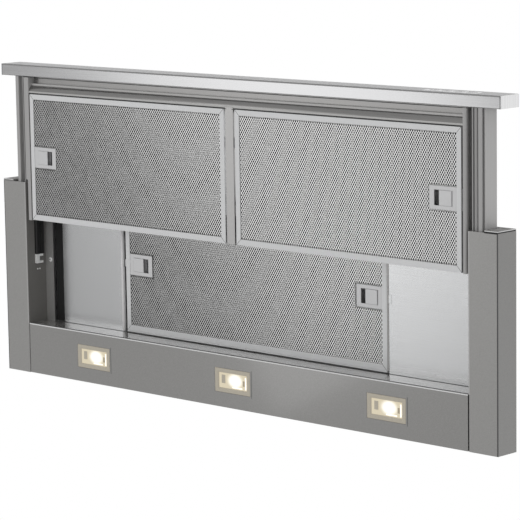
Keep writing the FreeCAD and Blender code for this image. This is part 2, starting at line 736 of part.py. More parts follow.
def push_button(index):
    """One push button: a cap that ends just behind the strip's face, on a stem."""
    x = button_x(index)
    front = FASCIA_FRONT + BUTTON_SUNK
    back = FASCIA_FRONT + BUTTON_CAP
    cap = box(around(x, BUTTON_SIZE[0]), (front, back), around(BUTTON_Z, BUTTON_SIZE[1]))
    cap = cap.makeChamfer(BUTTON_EDGE, [e for e in cap.Edges if e.BoundBox.YMax < front + BUTTON_EDGE])
    width, height, length = BUTTON_STEM
    return cap.fuse(box(around(x, width), (back, back + length), around(BUTTON_Z, height)))


def tray_front_channel():
    """Finger channel behind the front strip: flat roof, round nose, filter wall and top cover."""
    back = FASCIA_REAR
    roof, lip = CHANNEL_ROOF, CHANNEL_LIP
    wall = TRAY_FILTER_Y[0] - CHANNEL_GAP
    nose = back + CHANNEL_FLAT
    half_turn = math.sqrt(0.5)
    line = [(back, TRAY_TOP), (back, roof), (nose, roof),
            (wall - half_turn * (wall - nose), roof - half_turn * (roof - lip)), (wall, lip),
            (wall, lip + CHANNEL_WALL), (wall + CHANNEL_COVER, lip + CHANNEL_WALL)]
    corner = [place(point, "x", -TRAY_WALL) for point in line]
    edges = Part.makePolygon(corner[:3]).Edges
    edges.append(Part.Arc(*corner[2:5]).toShape())
    edges += Part.makePolygon(corner[4:]).Edges
    section = Part.Wire(edges).makeOffset2D(-SHEET, 0, True, True)
    return section.Faces[0].extrude(Vector(2 * TRAY_WALL, 0, 0))


def tray_side():
    """Side member of the tray: rolled lower edge, wall with the latch slot, and a web onto the rail."""
    low = TRAY_LOW
    roll = TRAY_WALL + TRAY_ROLL
    foot = RAIL_INNER + RAIL_FOOT
    line = [(roll, low + TRAY_ROLL), (roll, low), (TRAY_WALL, low), (TRAY_WALL, TRAY_TOP), (foot, TRAY_TOP),
            (foot, RAIL_Z[1])]
    front = FASCIA_REAR + SHEET
    corner = [place(point, "y", front) for point in line]
    start, middle, end = rounded_corner(*corner[:3], TRAY_ROLL_R)
    edges = [Part.makeLine(corner[0], start), Part.Arc(start, middle, end).toShape()]
    edges += Part.makePolygon([end] + corner[2:]).Edges
    section = Part.Wire(edges).makeOffset2D(-SHEET, 0, True, True)
    side = section.Faces[0].extrude(Vector(0, TRAY_REAR - front, 0))
    tongue_z = TRAY_FILTER_LOW + TONGUE_LOW
    slot_y = around(sum(TRAY_FILTER_Y) / 2, TONGUE[0] + TONGUE_PLAY)
    slot = box((TRAY_WALL - PAST, TRAY_WALL + SHEET + PAST), slot_y,
               (tongue_z - PAST, tongue_z + TONGUE[1] + PAST))
    return side.cut(slot)


def tray_runner():
    """Black slide strip on the casing's inner wall, grooved along its middle."""
    face, wall = RUNNER_X
    low, high = RUNNER_Z
    edge = RUNNER_EDGE
    groove = around(sum(RUNNER_Z) / 2, RUNNER_GROOVE)
    line = [(wall, low), (face + edge, low), (face, low + edge), (face, groove[0]), (face + edge, groove[0]),
            (face + edge, groove[1]), (face, groove[1]), (face, high - edge), (face + edge, high),
            (wall, high)]
    return prism(line, "y", (RUNNER_FRONT, RUNNER_REAR))


def tray_rail():
    """Rolled slide member: inner wall, bevelled rib, flat rib and a raised outer wall, with slits between."""
    low, high = RAIL_Z
    deep, rise = low + RAIL_SLIT_DEEP, low + RAIL_RISE
    line = [(RAIL_INNER, high), (RAIL_INNER, low)]
    first, last = RAIL_INNER + RAIL_WALL, RAIL_OUTER - RAIL_WALL
    line += [(first, low), (first, deep), (RAIL_RIB[0], deep), (RAIL_RIB[0], low), (RAIL_RIB[1], rise)]
    line += [(RAIL_RIB[1], deep), (RAIL_MIDDLE[0], deep), (RAIL_MIDDLE[0], low), (RAIL_MIDDLE[1], low)]
    line += [(RAIL_MIDDLE[1], deep), (last, deep), (last, rise), (RAIL_OUTER, rise), (RAIL_OUTER, high)]
    return prism(line, "y", (FASCIA_REAR, RAIL_REAR))


def rail_glide():
    """White plastic end clip of the slide strip, a C open upwards."""
    rear = RUNNER_REAR + GLIDE_LENGTH
    block = box(RUNNER_X, (RUNNER_REAR, rear), (RUNNER_Z[0], GLIDE_HIGH))
    mouth = box(inset(RUNNER_X, -PAST), inset((RUNNER_REAR, rear), GLIDE_ARM),
                (GLIDE_MOUTH, GLIDE_HIGH + PAST))
    return block.cut(mouth)


def tray_separator():
    """T-shaped bar between the two tray filters, whose foot carries their hooks."""
    foot = (TRAY_FILTER_LOW, TRAY_FILTER_LOW + SEPARATOR_FOOT)
    span = (TRAY_FILTER_Y[0] - CHANNEL_GAP, TRAY_REAR - SHEET)
    band = box((-SEPARATOR_HALF, SEPARATOR_HALF), span, foot)
    web = box((-SHEET, SHEET), span, (foot[1], REAR_BAR_Z[0]))
    return band.fuse(web).removeSplitter()


def tray_rear_bar():
    """Channel across the rear of the tray, above the filters."""
    rear = TRAY_REAR
    front = rear - REAR_BAR_DEPTH
    low, high = REAR_BAR_Z
    line = [(front, low), (rear, low), (rear, high), (rear - SHEET, high), (rear - SHEET, low + SHEET),
            (front + SHEET, low + SHEET), (front + SHEET, high), (front, high)]
    return prism(line, "x", (-TRAY_WALL, TRAY_WALL))


# Grease filters

def latch_outer(edge, side):
    """Where a latch housing starts, inside the filter's end border."""
    return edge - side * FILTER_BORDER


def latch_span(edge, side, near, far):
    """A stretch in X measured inwards from the latch housing's outer end."""
    start = latch_outer(edge, side)
    return sorted((start - side * near, start - side * far))


def filter_frame(x, y, low, latches):
    """Channel frame: skins, border lips and a hole for each latch tongue."""
    z = (low, low + FILTER_THICK)
    skin, border = FILTER_SKIN, FILTER_BORDER
    frame = box(x, y, z)
    frame = frame.cut(box(inset(x, skin), inset(y, skin), inset(z, skin)))
    frame = frame.cut(box(inset(x, border), inset(y, border), inset(z, -PAST)))
    middle = sum(y) / 2
    for edge, side in latches:
        hole_x = sorted((edge - side * 2 * skin, edge + side * PAST))
        frame = frame.cut(box(hole_x, around(middle, TONGUE[0] + 2 * LATCH_PLAY), tongue_slot(low)))
    return frame


def tongue_slot(low):
    """The height of the slot that a latch tongue runs through, in a filter at a given height."""
    return (low + TONGUE_LOW - LATCH_PLAY, low + TONGUE_LOW + TONGUE[1] + LATCH_PLAY)


def filter_mesh(x, y, low, latches):
    """Mesh pack held in the channel frame, with a pocket for each latch."""
    z = (low, low + FILTER_THICK)
    pack = box(inset(x, FILTER_SKIN), inset(y, FILTER_SKIN), inset(z, FILTER_SKIN))
    middle = sum(y) / 2
    for edge, side in latches:
        pocket_x = sorted((edge, edge - side * (FILTER_BORDER + LATCH_PLATE[0])))
        pack = pack.cut(box(pocket_x, around(middle, LATCH_PLATE[1]), inset(z, -PAST)))
    return pack


def latch_housing(edge, side, middle, low):
    """Closed latch case in the mesh, with a window for the finger pad and a tongue slot."""
    length, depth = LATCH_PLATE
    wall = LATCH_WALL
    floor = low + LATCH_SUNK
    height = (floor, low + FILTER_THICK - LATCH_SUNK)
    body = box(latch_span(edge, side, 0, length), around(middle, depth), height)
    inside = box(latch_span(edge, side, wall, length - wall), around(middle, depth - 2 * wall),
                 inset(height, wall))
    window_start = LATCH_PAD_START + LATCH_PAD_EDGE + wall
    window_end = LATCH_PAD_START + LATCH_PAD[0] + LATCH_SLOT
    window_y = around(middle, LATCH_PAD[1] - LATCH_PAD_EDGE)
    window = box(latch_span(edge, side, window_start, window_end), window_y,
                 (floor - PAST, floor + wall + LATCH_SUNK))
    slot_y = around(middle, TONGUE[0] + 2 * LATCH_PLAY)
    slot = box(latch_span(edge, side, -PAST, 2 * wall), slot_y, tongue_slot(low))
    return body.cut(inside).cut(window).cut(slot)


def latch_slider(edge, side, middle, low, reach):
    """Finger pad on a stem, a keeper above the plate and the tongue that locks the filter."""
    start = LATCH_PAD_START
    keeper_low = low + LATCH_SUNK + LATCH_WALL + KEEPER_PLAY
    tongue_z = (low + TONGUE_LOW, low + TONGUE_LOW + TONGUE[1])
    pad_low, pad_high = low + LATCH_PAD_Z[0], low + LATCH_PAD_Z[1]
    pad = box(latch_span(edge, side, start, start + LATCH_PAD[0]), around(middle, LATCH_PAD[1]),
              (pad_low, pad_high))
    rim = [e for e in pad.Edges if e.BoundBox.ZMax < pad_low + LATCH_PAD_EDGE]
    pad = pad.makeChamfer(LATCH_PAD_EDGE, rim)
    near, far, narrow = LATCH_STEM
    stem = box(latch_span(edge, side, start + near, start + far), around(middle, LATCH_PAD[1] - narrow),
               (pad_high, keeper_low))
    near, far, narrow = LATCH_KEEPER
    keeper = box(latch_span(edge, side, start + near, start + far), around(middle, LATCH_PLATE[1] - narrow),
                 (keeper_low, tongue_z[1]))
    tongue = box(latch_span(edge, side, -FILTER_BORDER - reach, start + near), around(middle, TONGUE[0]),
                 tongue_z)
    return pad.fuse([stem, keeper, tongue]).removeSplitter()


def tray_filter_tabs(x, y, low):
    """Two tabs on the inner edge that rest over the separator's foot."""
    spans = [around(y[0] + share * (y[1] - y[0]), TAB_WIDTH) for share in (0.25, 0.75)]
    height = (low + TRAY_TAB_LOW, low + TRAY_TAB_LOW + TAB_THICK)
    return [box((x[0] - TAB_REACH, x[0] + FILTER_SKIN), span, height) for span in spans]


def rear_filter_tabs(x, y, low):
    """Two wide tabs on the front edge that rest over the liner's front strip."""
    spans = [around(x[0] + share * (x[1] - x[0]), 2 * TAB_WIDTH) for share in (0.2, 0.8)]
    height = (low + REAR_TAB_LOW, low + REAR_TAB_LOW + TAB_THICK)
    return [box(span, (y[0] - TAB_REACH - SHEET, y[0] + FILTER_SKIN), height) for span in spans]


def save_tray_filter():
    """The right tray filter, its mirrored twin and their latches."""
    x, y, low = TRAY_FILTER_X, TRAY_FILTER_Y, TRAY_FILTER_LOW
    latch = [(x[1], 1)]
    middle = sum(y) / 2
    tabs = tray_filter_tabs(x, y, low)
    save_pair("filter_frame", filter_frame(x, y, low, latch).fuse(tabs).removeSplitter())
    save_pair("filter_mesh", filter_mesh(x, y, low, latch))
    save_pair("latch_housing", latch_housing(x[1], 1, middle, low))
    save_pair("latch_slider", latch_slider(x[1], 1, middle, low, TRAY_TONGUE_REACH))


def save_rear_filter():
    """The fixed rear filter with a latch at each end."""
    x, y, low = (-REAR_FILTER_HALF, REAR_FILTER_HALF), REAR_FILTER_Y, REAR_FILTER_LOW
    latches = [(x[0], -1), (x[1], 1)]
    middle = sum(y) / 2
    tabs = rear_filter_tabs(x, y, low)
    save("rear_filter_frame", filter_frame(x, y, low, latches).fuse(tabs).removeSplitter())
    save("rear_filter_mesh", filter_mesh(x, y, low, latches))
    save("rear_latch_housings", Part.Compound([latch_housing(e, s, middle, low) for e, s in latches]))
    for (edge, side), name in zip(latches, ("left", "right")):
        save("rear_" + name + "_latch_slider", latch_slider(edge, side, middle, low, REAR_TONGUE_REACH))


def save_fixed_body():
    """Pan, liner, casings, guides, slide strips, seals, screws and lamps."""
    save("top_pan", top_pan())
    save("ceiling_plate", ceiling_plate())
    save_pair("side_casing", side_casing())
    save_pair("casing_cap", casing_cap())
    save_pair("guide_rail", guide_rail())
    save_pair("tray_runner", tray_runner())
    save_pair("rail_glide", rail_glide())
    save("seal_strips", Part.Compound([seal_strip(), mirrored(seal_strip())]))
    save("casing_screws", casing_screws())
    save("lamp_panel", lamp_panel())
    lamps = [step * LAMP_PITCH for step in (-1, 0, 1)]
    save("lamp_bezels", Part.Compound([lamp_bezel(x) for x in lamps]))
    save("lamp_lenses", Part.Compound([lamp_lens(x) for x in lamps]))
    save("led_modules", Part.Compound([led_module(x) for x in lamps]))


def save_blower():
    """Blower box with fan, outlet, electrics and flaps."""
    save("motor_housing", motor_housing())
    save("scroll_lower", scroll_lower())
    save("scroll_upper", scroll_upper())
    save("fan_motor", fan_motor())
    save("motor_shaft", motor_shaft())
    save("impeller", impeller())
    save("outlet_collar", outlet_collar())
    save("damper_pin", damper_pin())
    near, far = FLAP_SPAN
    save("right_damper_flap", damper_flap(1, -far, -near))
    save("left_damper_flap", damper_flap(-1, near, far))
    save("electronics_box", electronics_box())
    save("capacitor", capacitor())
    save("cable_gland", cable_gland())


def save_tray():
    """Front strip, controls and the sliding frame."""
    save("fascia", fascia())
    save("fascia_ends", Part.Compound([fascia_end(), mirrored(fascia_end())]))
    save("control_bezel", control_bezel())
    save("control_board", control_board())
    for index in range(BUTTON_COUNT):
        save("push_button_" + str(index + 1), push_button(index))
    save("tray_front_channel", tray_front_channel())
    save_pair("tray_side", tray_side())
    save_pair("tray_rail", tray_rail())
    save("tray_separator", tray_separator())
    save("tray_rear_bar", tray_rear_bar())


os.makedirs("parts", exist_ok=True)
save_fixed_body()
save_blower()
save_tray()
save_tray_filter()
save_rear_filter()
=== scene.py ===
"""Looks of the telescopic range hood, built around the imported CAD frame, in metres."""
import math

import bmesh
import bpy
from mathutils import Matrix, Quaternion, Vector


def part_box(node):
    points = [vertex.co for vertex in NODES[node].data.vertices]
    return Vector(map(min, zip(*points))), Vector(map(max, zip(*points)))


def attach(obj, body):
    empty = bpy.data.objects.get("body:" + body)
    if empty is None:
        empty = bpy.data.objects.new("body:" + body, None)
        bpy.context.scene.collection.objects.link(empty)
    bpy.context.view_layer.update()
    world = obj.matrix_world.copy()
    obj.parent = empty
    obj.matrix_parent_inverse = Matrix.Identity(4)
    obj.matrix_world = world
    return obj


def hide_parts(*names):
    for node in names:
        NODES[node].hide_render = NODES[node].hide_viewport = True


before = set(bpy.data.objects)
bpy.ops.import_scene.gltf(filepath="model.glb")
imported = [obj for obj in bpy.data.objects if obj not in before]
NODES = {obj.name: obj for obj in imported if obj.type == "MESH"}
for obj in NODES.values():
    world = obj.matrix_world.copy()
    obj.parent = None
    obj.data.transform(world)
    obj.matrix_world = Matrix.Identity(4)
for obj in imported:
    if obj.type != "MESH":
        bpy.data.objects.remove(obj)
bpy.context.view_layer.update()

MM = 0.001
SIDES = (-1, 1)
DOWN = (0, 0, -1)
UP = (0, 0, 1)

# Camera, fitted to the photograph's straight edges
CAMERA_PLACE = (2.4328, -0.5686, -2.5355)
CAMERA_RIGHT = (0.7248, 0.0154, 0.6888)
CAMERA_UP = (-0.0929, -0.9884, 0.1198)
CAMERA_LENS = 186.19
CAMERA_FAR = 400

# Stage: a floor far below, so that the hood can be seen from underneath
FLOOR_Z = -6.5
FLOOR_HALF = 120.0
FLOOR_COLOUR = (0.80, 0.80, 0.80)
FLOOR_GRAIN = 2
AMBIENT = 0.63

# Soft lamps: place, target, size, power in watts, roll in degrees
SOFT_LAMPS = {
    "soft_left": ((-2.18, -0.15, -2.4), (0, -0.1, 0), (1.85, 0.8), 4.6, 26),
    "soft_low": ((-1.8, -0.75, -2.4), (0, -0.1, 0), (0.6, 0.6), 1.0, 0),
    "soft_right": ((1.4, -0.8, -2.6), (0, 0, 0), (1.2, 1.2), 5.0, 0),
    "soft_top": ((0.5, 1.4, 3.0), (0, 0, 0), (2.5, 2.5), 12, 0),
}

# Rounded edges
WELD_REACH = 0.01 * MM
EDGE_ROUND = 0.3 * MM
EDGE_SEGMENTS = 2
EDGE_ANGLE = math.radians(40)
EDGE_PROFILE = 0.5

# Surface patterns: grain per metre, change of tone, change of roughness and strength of relief
ALONG_X = (6, 900, 900)
ALONG_Y = (900, 6, 900)
ALONG_Z = (900, 900, 20)
LINER_GRAIN = (6, 2500, 2500)
RELIEF = 0.2 * MM
NOISE_SPAN = (0.25, 0.75)
NOISE_ROUGHNESS = 0.6
FINE_DETAIL = 2.0
RICH_DETAIL = 3.0
RAMP_STOPS = (0.3, 0.7)
FULL_RAMP = (0.0, 1.0)
STREAK_SPREAD = 0.15
FLAKE_GRAIN = 1600
FLAKE_TONE = 0.14
FLAKE_RELIEF = 0.05
CLOUD_GRAIN = 9
CLOUD_SPREAD = 0.07
COAT_IOR = 1.6
COAT_ROUGHNESS = 0.08
SPANGLE_GRAIN = 110
SPANGLE_TONE = (0.95, 1.04)
SPANGLE_STOPS = (0.1, 0.9)
SPANGLE_SPREAD = (0.94, 1.08)
SKIN_GRAIN = 900
SKIN_TONE = 0.07
SKIN_SPREAD = 0.1
SKIN_RELIEF = 0.12

# Filter mesh: staggered diamond pits, painted dark to stand for openings, long way front to back
MESH_HALF = (1.875 * MM, 2.835 * MM)
MESH_OPEN = 0.78
MESH_FLOOR = 0.72
MESH_DEPTH = 1.6 * MM
MESH_TUCK = 3.0 * MM
DIAMOND = ((1, 0), (0, 1), (-1, 0), (0, -1))
CORNERS = len(DIAMOND)
FRAME_BORDER = 8.0 * MM
FRAME_SKIN = 0.8 * MM
LATCH_CLEAR = 1.2 * MM
UV_SLANT = 0.25
UV_SIZE = (0.98, 0.49)
UV_BACK = 0.5
BACK_DEPTH = 1.1 * MESH_DEPTH

# Liner of the tray bay
SHEET = 1.0 * MM
LINER_GAP = (7.4 * MM, 3.2 * MM)
LINER_NOTCH = 7.9 * MM
LINER_SLOT = 5.8 * MM
LINER_JOG = 0.5 * MM
JOG_TOP = 1.3 * MM
TAB_PLAY = 0.3 * MM
LINER_ROLL = 2.6 * MM
LINER_TAIL = 4.0 * MM
LINER_FRONT = 3.6 * MM
ROLL_STEPS = 6

# Lamps: the cover's window, its glow, and the patches in it as shares of the window
LENS_ASPECT = 2.5
LENS_RIM = 2.6 * MM
LENS_TINT = (0.70, 0.63, 0.49)
LENS_ROUGHNESS = 0.3
GLOW_STRETCH = (0.85, 1.2, 1.0)
GLOW_EDGE = 14.5 * MM
GLOW_CORE = 4.0 * MM
GLOW_AWAY = (0.28, 0.245, 0.165)
GLOW_WHITE = (1.0, 0.99, 0.96)
BRIGHT_AWAY = (0.9, 0.88, 0.84)
GLOW_SHIFT = 0.08
GLOW_FORWARD = 1.0 * MM
CHIP_PATCH = ((0.09, 0.22), (0.14, 0.70))
BLOCK_PATCH = ((0.86, 0.93), (0.36, 0.72))
BRIGHT_PATCHES = (((0.945, 0.985), (0.12, 0.94)), ((0.48, 0.84), (0.86, 0.94)))
PATCH_DEPTH = (0.3 * MM, 0.2 * MM)
PATCH_ROUND = 0.1 * MM

# Casings and lamp panel, with painted shade and highlights on them
CASING_FOLD = 1.1 * MM
CASING_EDGE = 1.5 * MM
CAP_WIDTH = 20.0 * MM
CAP_SHADE_INSET = 0.15 * MM
CAP_SHADE_LINE = 0.6 * MM
CAP_RIM = 0.9 * MM
INNER_SHADE_THICK = 0.2 * MM
SKIN_THICK = 0.1 * MM
PANEL_FOLD = 1.3 * MM
PANEL_SHADE = 5.0 * MM

# Tray: a strip of painted light along the left side, the finger channel, and gaps in painted shadow, as
# distances from the pieces that they follow
LIGHT_STRIP_INSET = 0.2 * MM
LIGHT_STRIP_WIDE = 9.2 * MM
LIGHT_STRIP_NARROW = 6.0 * MM
LIGHT_STRIP_STOP = 4.0 * MM
LIGHT_STRIP_DROP = 0.25 * MM
CHANNEL_ROOF = 10.0 * MM
CHANNEL_LINE = (1.6 * MM, 2.7 * MM)
CHANNEL_BEAD = (9.8 * MM, 12.4 * MM)
BEAD_RISE = 5.0 * MM
CHANNEL_LIP = (3.5 * MM, 1.1 * MM)
GAP_LINE = 0.15 * MM
EDGE_LINE = 0.7 * MM

# Filter lips, the rear filter's strip of painted light, seams and painted shade along fold lines
SIDE_STRIP_RISE = 0.3 * MM
SIDE_STRIP_WIDTH = 2.8 * MM
LIP_REAR = 1.7 * MM
LIP_ROUND = 0.2 * MM
SEAM_WIDTH = 0.45 * MM
SEAM_HEIGHT = 0.1 * MM
SEAM_START = 0.6 * MM
FOLD_INSET = 1.2 * MM
FOLD_WIDTH = 1.3 * MM

# Fasteners: a head's radius and height are a pair
DOME_SIDES = 24
DOME_PROFILE = ((1.0, 0.0), (1.0, 0.35), (0.86, 0.72), (0.58, 0.93), (0.2, 1.0))
SCREW_ASPECT = 2.06
SCREW_FILL = 0.98
SLOT_REACH = 0.55
SLOT_WIDTH = 0.22
SLOT_DEPTH = 0.2 * MM
RIVET_HEAD = (1.2 * MM, 0.8 * MM)
RIVET_BACK = 8.5 * MM
RIVET_RISE = (4.5 * MM, 8.5 * MM)
PIP_HEAD = (1.1 * MM, 0.8 * MM)
PIP_PLACE = (67.6 * MM, 4.5 * MM, 0.9 * MM)
BOX_SCREW = (3.5 * MM, 1.8 * MM)
BOX_SCREW_INSET = 8.0 * MM
BOX_SCREW_SUNK = 0.2 * MM
BOX_SCREW_END = 0.04
BOX_SCREWS = 5
COLLAR_CLEAR = 95.0 * MM
COLLAR_SCREW = (3.2 * MM, 1.6 * MM)
COLLAR_SCREWS = 6
COLLAR_SCREW_INSET = 6.0 * MM
COLLAR_SCREW_RISE = 1.9 * MM


# Small helpers

def new_object(name, mesh, body):
    """Links a finished mesh as a piece that rides on a body."""
    piece = bpy.data.objects.new(name, mesh)
    bpy.context.scene.collection.objects.link(piece)
    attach(piece, body)
    return piece


def wear(piece, *materials):
    """Gives an object these materials in place of what it had."""
    piece.data.materials.clear()
    for material in materials:
        piece.data.materials.append(material)


def soften(piece):
    """Welds a CAD mesh and rounds its sharp edges."""
    weld = piece.modifiers.new("weld", "WELD")
    weld.merge_threshold = WELD_REACH
    bevel = piece.modifiers.new("edges", "BEVEL")
    bevel.width = EDGE_ROUND
    bevel.segments = EDGE_SEGMENTS
    bevel.limit_method = "ANGLE"
    bevel.angle_limit = EDGE_ANGLE
    bevel.harden_normals = False


# Materials

class Shader:
    """A node material with one Principled shader and short ways to add pattern nodes."""

    def __init__(self, name, colour, metallic, roughness):
        self.material = bpy.data.materials.new(name)
        self.material.use_nodes = True
        self.nodes = self.material.node_tree.nodes
        self.links = self.material.node_tree.links
        self.main = self.nodes["Principled BSDF"]
        self.main.inputs["Base Color"].default_value = (*colour, 1)
        self.main.inputs["Metallic"].default_value = metallic
        self.main.inputs["Roughness"].default_value = roughness

    def place(self, scale):
        """Object coordinates, stretched by a scale for each axis."""
        coords = self.nodes.new("ShaderNodeTexCoord")
        mapping = self.nodes.new("ShaderNodeMapping")
        mapping.inputs["Scale"].default_value = scale
        self.links.new(coords.outputs["Object"], mapping.inputs["Vector"])
        return mapping.outputs["Vector"]

    def noise(self, scale, detail):
        """Noise in stretched object coordinates."""
        texture = self.nodes.new("ShaderNodeTexNoise")
        texture.inputs["Scale"].default_value = 1.0
        texture.inputs["Detail"].default_value = detail
        texture.inputs["Roughness"].default_value = NOISE_ROUGHNESS
        self.links.new(self.place(scale), texture.inputs["Vector"])
        return texture.outputs["Fac"]

    def ramp(self, value, low, high, stops=RAMP_STOPS):
        """A value turned into a colour between two colours."""
        ramp = self.nodes.new("ShaderNodeValToRGB")
        for element, stop, colour in zip(ramp.color_ramp.elements, stops, (low, high)):
            element.position = stop
            element.color = (*colour, 1)
        self.links.new(value, ramp.inputs["Fac"])
        return ramp.outputs["Color"]

    def spread(self, value, low, high):
        """A value turned into a number between two limits."""
        span = self.nodes.new("ShaderNodeMapRange")
        for socket, number in zip(("From Min", "From Max", "To Min", "To Max"), (*NOISE_SPAN, low, high)):
            span.inputs[socket].default_value = number
        self.links.new(value, span.inputs["Value"])
        return span.outputs["Result"]

    def bump(self, value, strength):
        """Surface relief from a value."""
        bump = self.nodes.new("ShaderNodeBump")
        bump.inputs["Strength"].default_value = strength
        bump.inputs["Distance"].default_value = RELIEF
        self.links.new(value, bump.inputs["Height"])
        self.links.new(bump.outputs["Normal"], self.main.inputs["Normal"])

    def gloss(self, level):
        """How strongly a surface that isn't metal mirrors light."""
        self.main.inputs["Specular IOR Level"].default_value = level

    def feed(self, socket, output):
        """Joins a node output to one of the shader's sockets."""
        self.links.new(output, self.main.inputs[socket])


def shade(colour, factor):
    """A colour made darker or lighter."""
    return tuple(min(1.0, c * factor) for c in colour)


def even(grain):
    """The same grain along all three axes."""
    return (grain, grain, grain)


def brushed(name, colour, roughness, grain, contrast=0.05, metallic=1.0, relief=0.06, gloss=0.5):
    """Brushed or rolled metal, with its grain along the stretched axis."""
    shader = Shader(name, colour, metallic, roughness)
    shader.gloss(gloss)
    streaks = shader.noise(grain, RICH_DETAIL)
    shader.feed("Base Color", shader.ramp(streaks, shade(colour, 1 - contrast), shade(colour, 1 + contrast)))
    low, high = roughness * (1 - STREAK_SPREAD), roughness * (1 + STREAK_SPREAD)
    shader.feed("Roughness", shader.spread(streaks, low, high))
    shader.bump(streaks, relief)
    return shader.material


def metallic_paint(name, colour, metallic, roughness, coat=0.0):
    """Satin metallic paint: fine flakes, a faint cloudiness and, if asked, a clear coat."""
    shader = Shader(name, colour, metallic, roughness)
    flakes = shader.noise(even(FLAKE_GRAIN), FINE_DETAIL)
    clouds = shader.noise(even(CLOUD_GRAIN), RICH_DETAIL)
    tones = shade(colour, 1 - FLAKE_TONE), shade(colour, 1 + FLAKE_TONE)
    shader.feed("Base Color", shader.ramp(flakes, *tones))
    low, high = roughness * (1 - CLOUD_SPREAD), roughness * (1 + CLOUD_SPREAD)
    shader.feed("Roughness", shader.spread(clouds, low, high))
    shader.bump(flakes, FLAKE_RELIEF)
    shader.main.inputs["Coat Weight"].default_value = coat
    shader.main.inputs["Coat IOR"].default_value = COAT_IOR
    shader.main.inputs["Coat Roughness"].default_value = COAT_ROUGHNESS
    return shader.material


def galvanised(name, colour, roughness):
    """Zinc sheet with faint spangles."""
    shader = Shader(name, colour, 1.0, roughness)
    spangle = shader.nodes.new("ShaderNodeTexVoronoi")
    spangle.inputs["Scale"].default_value = 1.0
    shader.links.new(shader.place(even(SPANGLE_GRAIN)), spangle.inputs["Vector"])
    pattern = spangle.outputs["Color"]
    tones = [shade(colour, tone) for tone in SPANGLE_TONE]
    shader.feed("Base Color", shader.ramp(pattern, *tones, SPANGLE_STOPS))
    shader.feed("Roughness", shader.spread(pattern, *(roughness * share for share in SPANGLE_SPREAD)))
    return shader.material


def plastic(name, colour, roughness, grain=SKIN_GRAIN, gloss=0.5):
    """Moulded plastic with a fine eroded skin."""
    shader = Shader(name, colour, 0.0, roughness)
    shader.gloss(gloss)
    skin = shader.noise(even(grain), FINE_DETAIL)
    shader.feed("Base Color", shader.ramp(skin, shade(colour, 1 - SKIN_TONE), shade(colour, 1 + SKIN_TONE)))
    low, high = roughness * (1 - SKIN_SPREAD), min(1.0, roughness * (1 + SKIN_SPREAD))
    shader.feed("Roughness", shader.spread(skin, low, high))
    shader.bump(skin, SKIN_RELIEF)
    return shader.material


def lamp_glow(name, spots, away):
    """Frosted lamp cover: cream, with a soft white hot spot at each of the given points."""
    shader = Shader(name, LENS_TINT, 0.0, LENS_ROUGHNESS)
    coords = shader.place(GLOW_STRETCH)
    strongest = None
    for spot in spots:
        reach = shader.nodes.new("ShaderNodeVectorMath")
        reach.operation = "DISTANCE"
        reach.inputs[1].default_value = [share * at for share, at in zip(GLOW_STRETCH, spot)]
        shader.links.new(coords, reach.inputs[0])
        glow = shader.nodes.new("ShaderNodeMapRange")
        glow.interpolation_type = "SMOOTHSTEP"
        glow.inputs["From Min"].default_value = GLOW_EDGE
        glow.inputs["From Max"].default_value = GLOW_CORE
        shader.links.new(reach.outputs["Value"], glow.inputs["Value"])
        if strongest is None:
            strongest = glow.outputs["Result"]
            continue
        top = shader.nodes.new("ShaderNodeMath")
        top.operation = "MAXIMUM"
        shader.links.new(strongest, top.inputs[0])
        shader.links.new(glow.outputs["Result"], top.inputs[1])
        strongest = top.outputs["Value"]
    shader.feed("Emission Color", shader.ramp(strongest, away, GLOW_WHITE, FULL_RAMP))
    shader.main.inputs["Emission Strength"].default_value = 1.0
    return shader.material


PAINT = metallic_paint("satin_grey_paint", (0.400, 0.395, 0.385), 0.25, 0.3)
# The casings' outer sides are painted darker than their fronts: painted shade.
SIDE_SHADE = metallic_paint("painted_shade_side_grey", (0.300, 0.297, 0.290), 0.1, 0.4)
PANEL = metallic_paint("lamp_panel_paint", (0.325, 0.320, 0.310), 0.1, 0.2, coat=1.0)
# A lighter grey paint for bright edges, beads and lips: painted highlight.
EDGE_HIGHLIGHT = metallic_paint("painted_highlight_grey", (0.56, 0.555, 0.545), 0.1, 0.3)
MOTOR = metallic_paint("motor_paint", (0.07, 0.07, 0.075), 0.5, 0.5)

STEEL_X = brushed("brushed_steel_across", (0.56, 0.56, 0.565), 0.18, ALONG_X)
# Lighter copy of the fascia's brushed steel for its end plates: painted highlight.
STEEL_END = brushed("brushed_steel_end", (0.74, 0.74, 0.745), 0.2, ALONG_Y)
STEEL_Y = brushed("brushed_steel_lengthways", (0.43, 0.425, 0.42), 0.3, ALONG_Y)
STEEL_GREY = brushed("grey_steel_across", (0.34, 0.335, 0.33), 0.28, ALONG_X)
BARE_STEEL = brushed("bare_steel", (0.45, 0.45, 0.45), 0.3, ALONG_Z)
RAIL = brushed("rolled_rail_steel", (0.50, 0.495, 0.49), 0.5, ALONG_Y, metallic=0.25)
FRONT = brushed("brushed_front", (0.70, 0.70, 0.705), 0.6, ALONG_X, 0.05, 0.0, 0.03, gloss=0.1)
LINER = brushed("liner_sheet", (0.59, 0.595, 0.60), 0.22, LINER_GRAIN, 0.01, 1.0, 0.25)
# White for rolled and folded edges that catch the light: painted highlight.
WHITE_HIGHLIGHT = brushed("painted_white_highlight", (0.95, 0.95, 0.95), 0.5, even(300), 0.02, 0.0, 0.01)
FRAME_METAL = brushed("filter_frame_aluminium", (0.80, 0.805, 0.81), 0.5, even(200), 0.03, 0.7)
MESH_METAL = brushed("filter_mesh_aluminium", (0.77, 0.77, 0.765), 0.2, even(60))
LATCH_METAL = brushed("latch_aluminium", (0.67, 0.67, 0.675), 0.42, even(250), 0.03)
ZINC = galvanised("zinc_sheet", (0.58, 0.585, 0.59), 0.4)
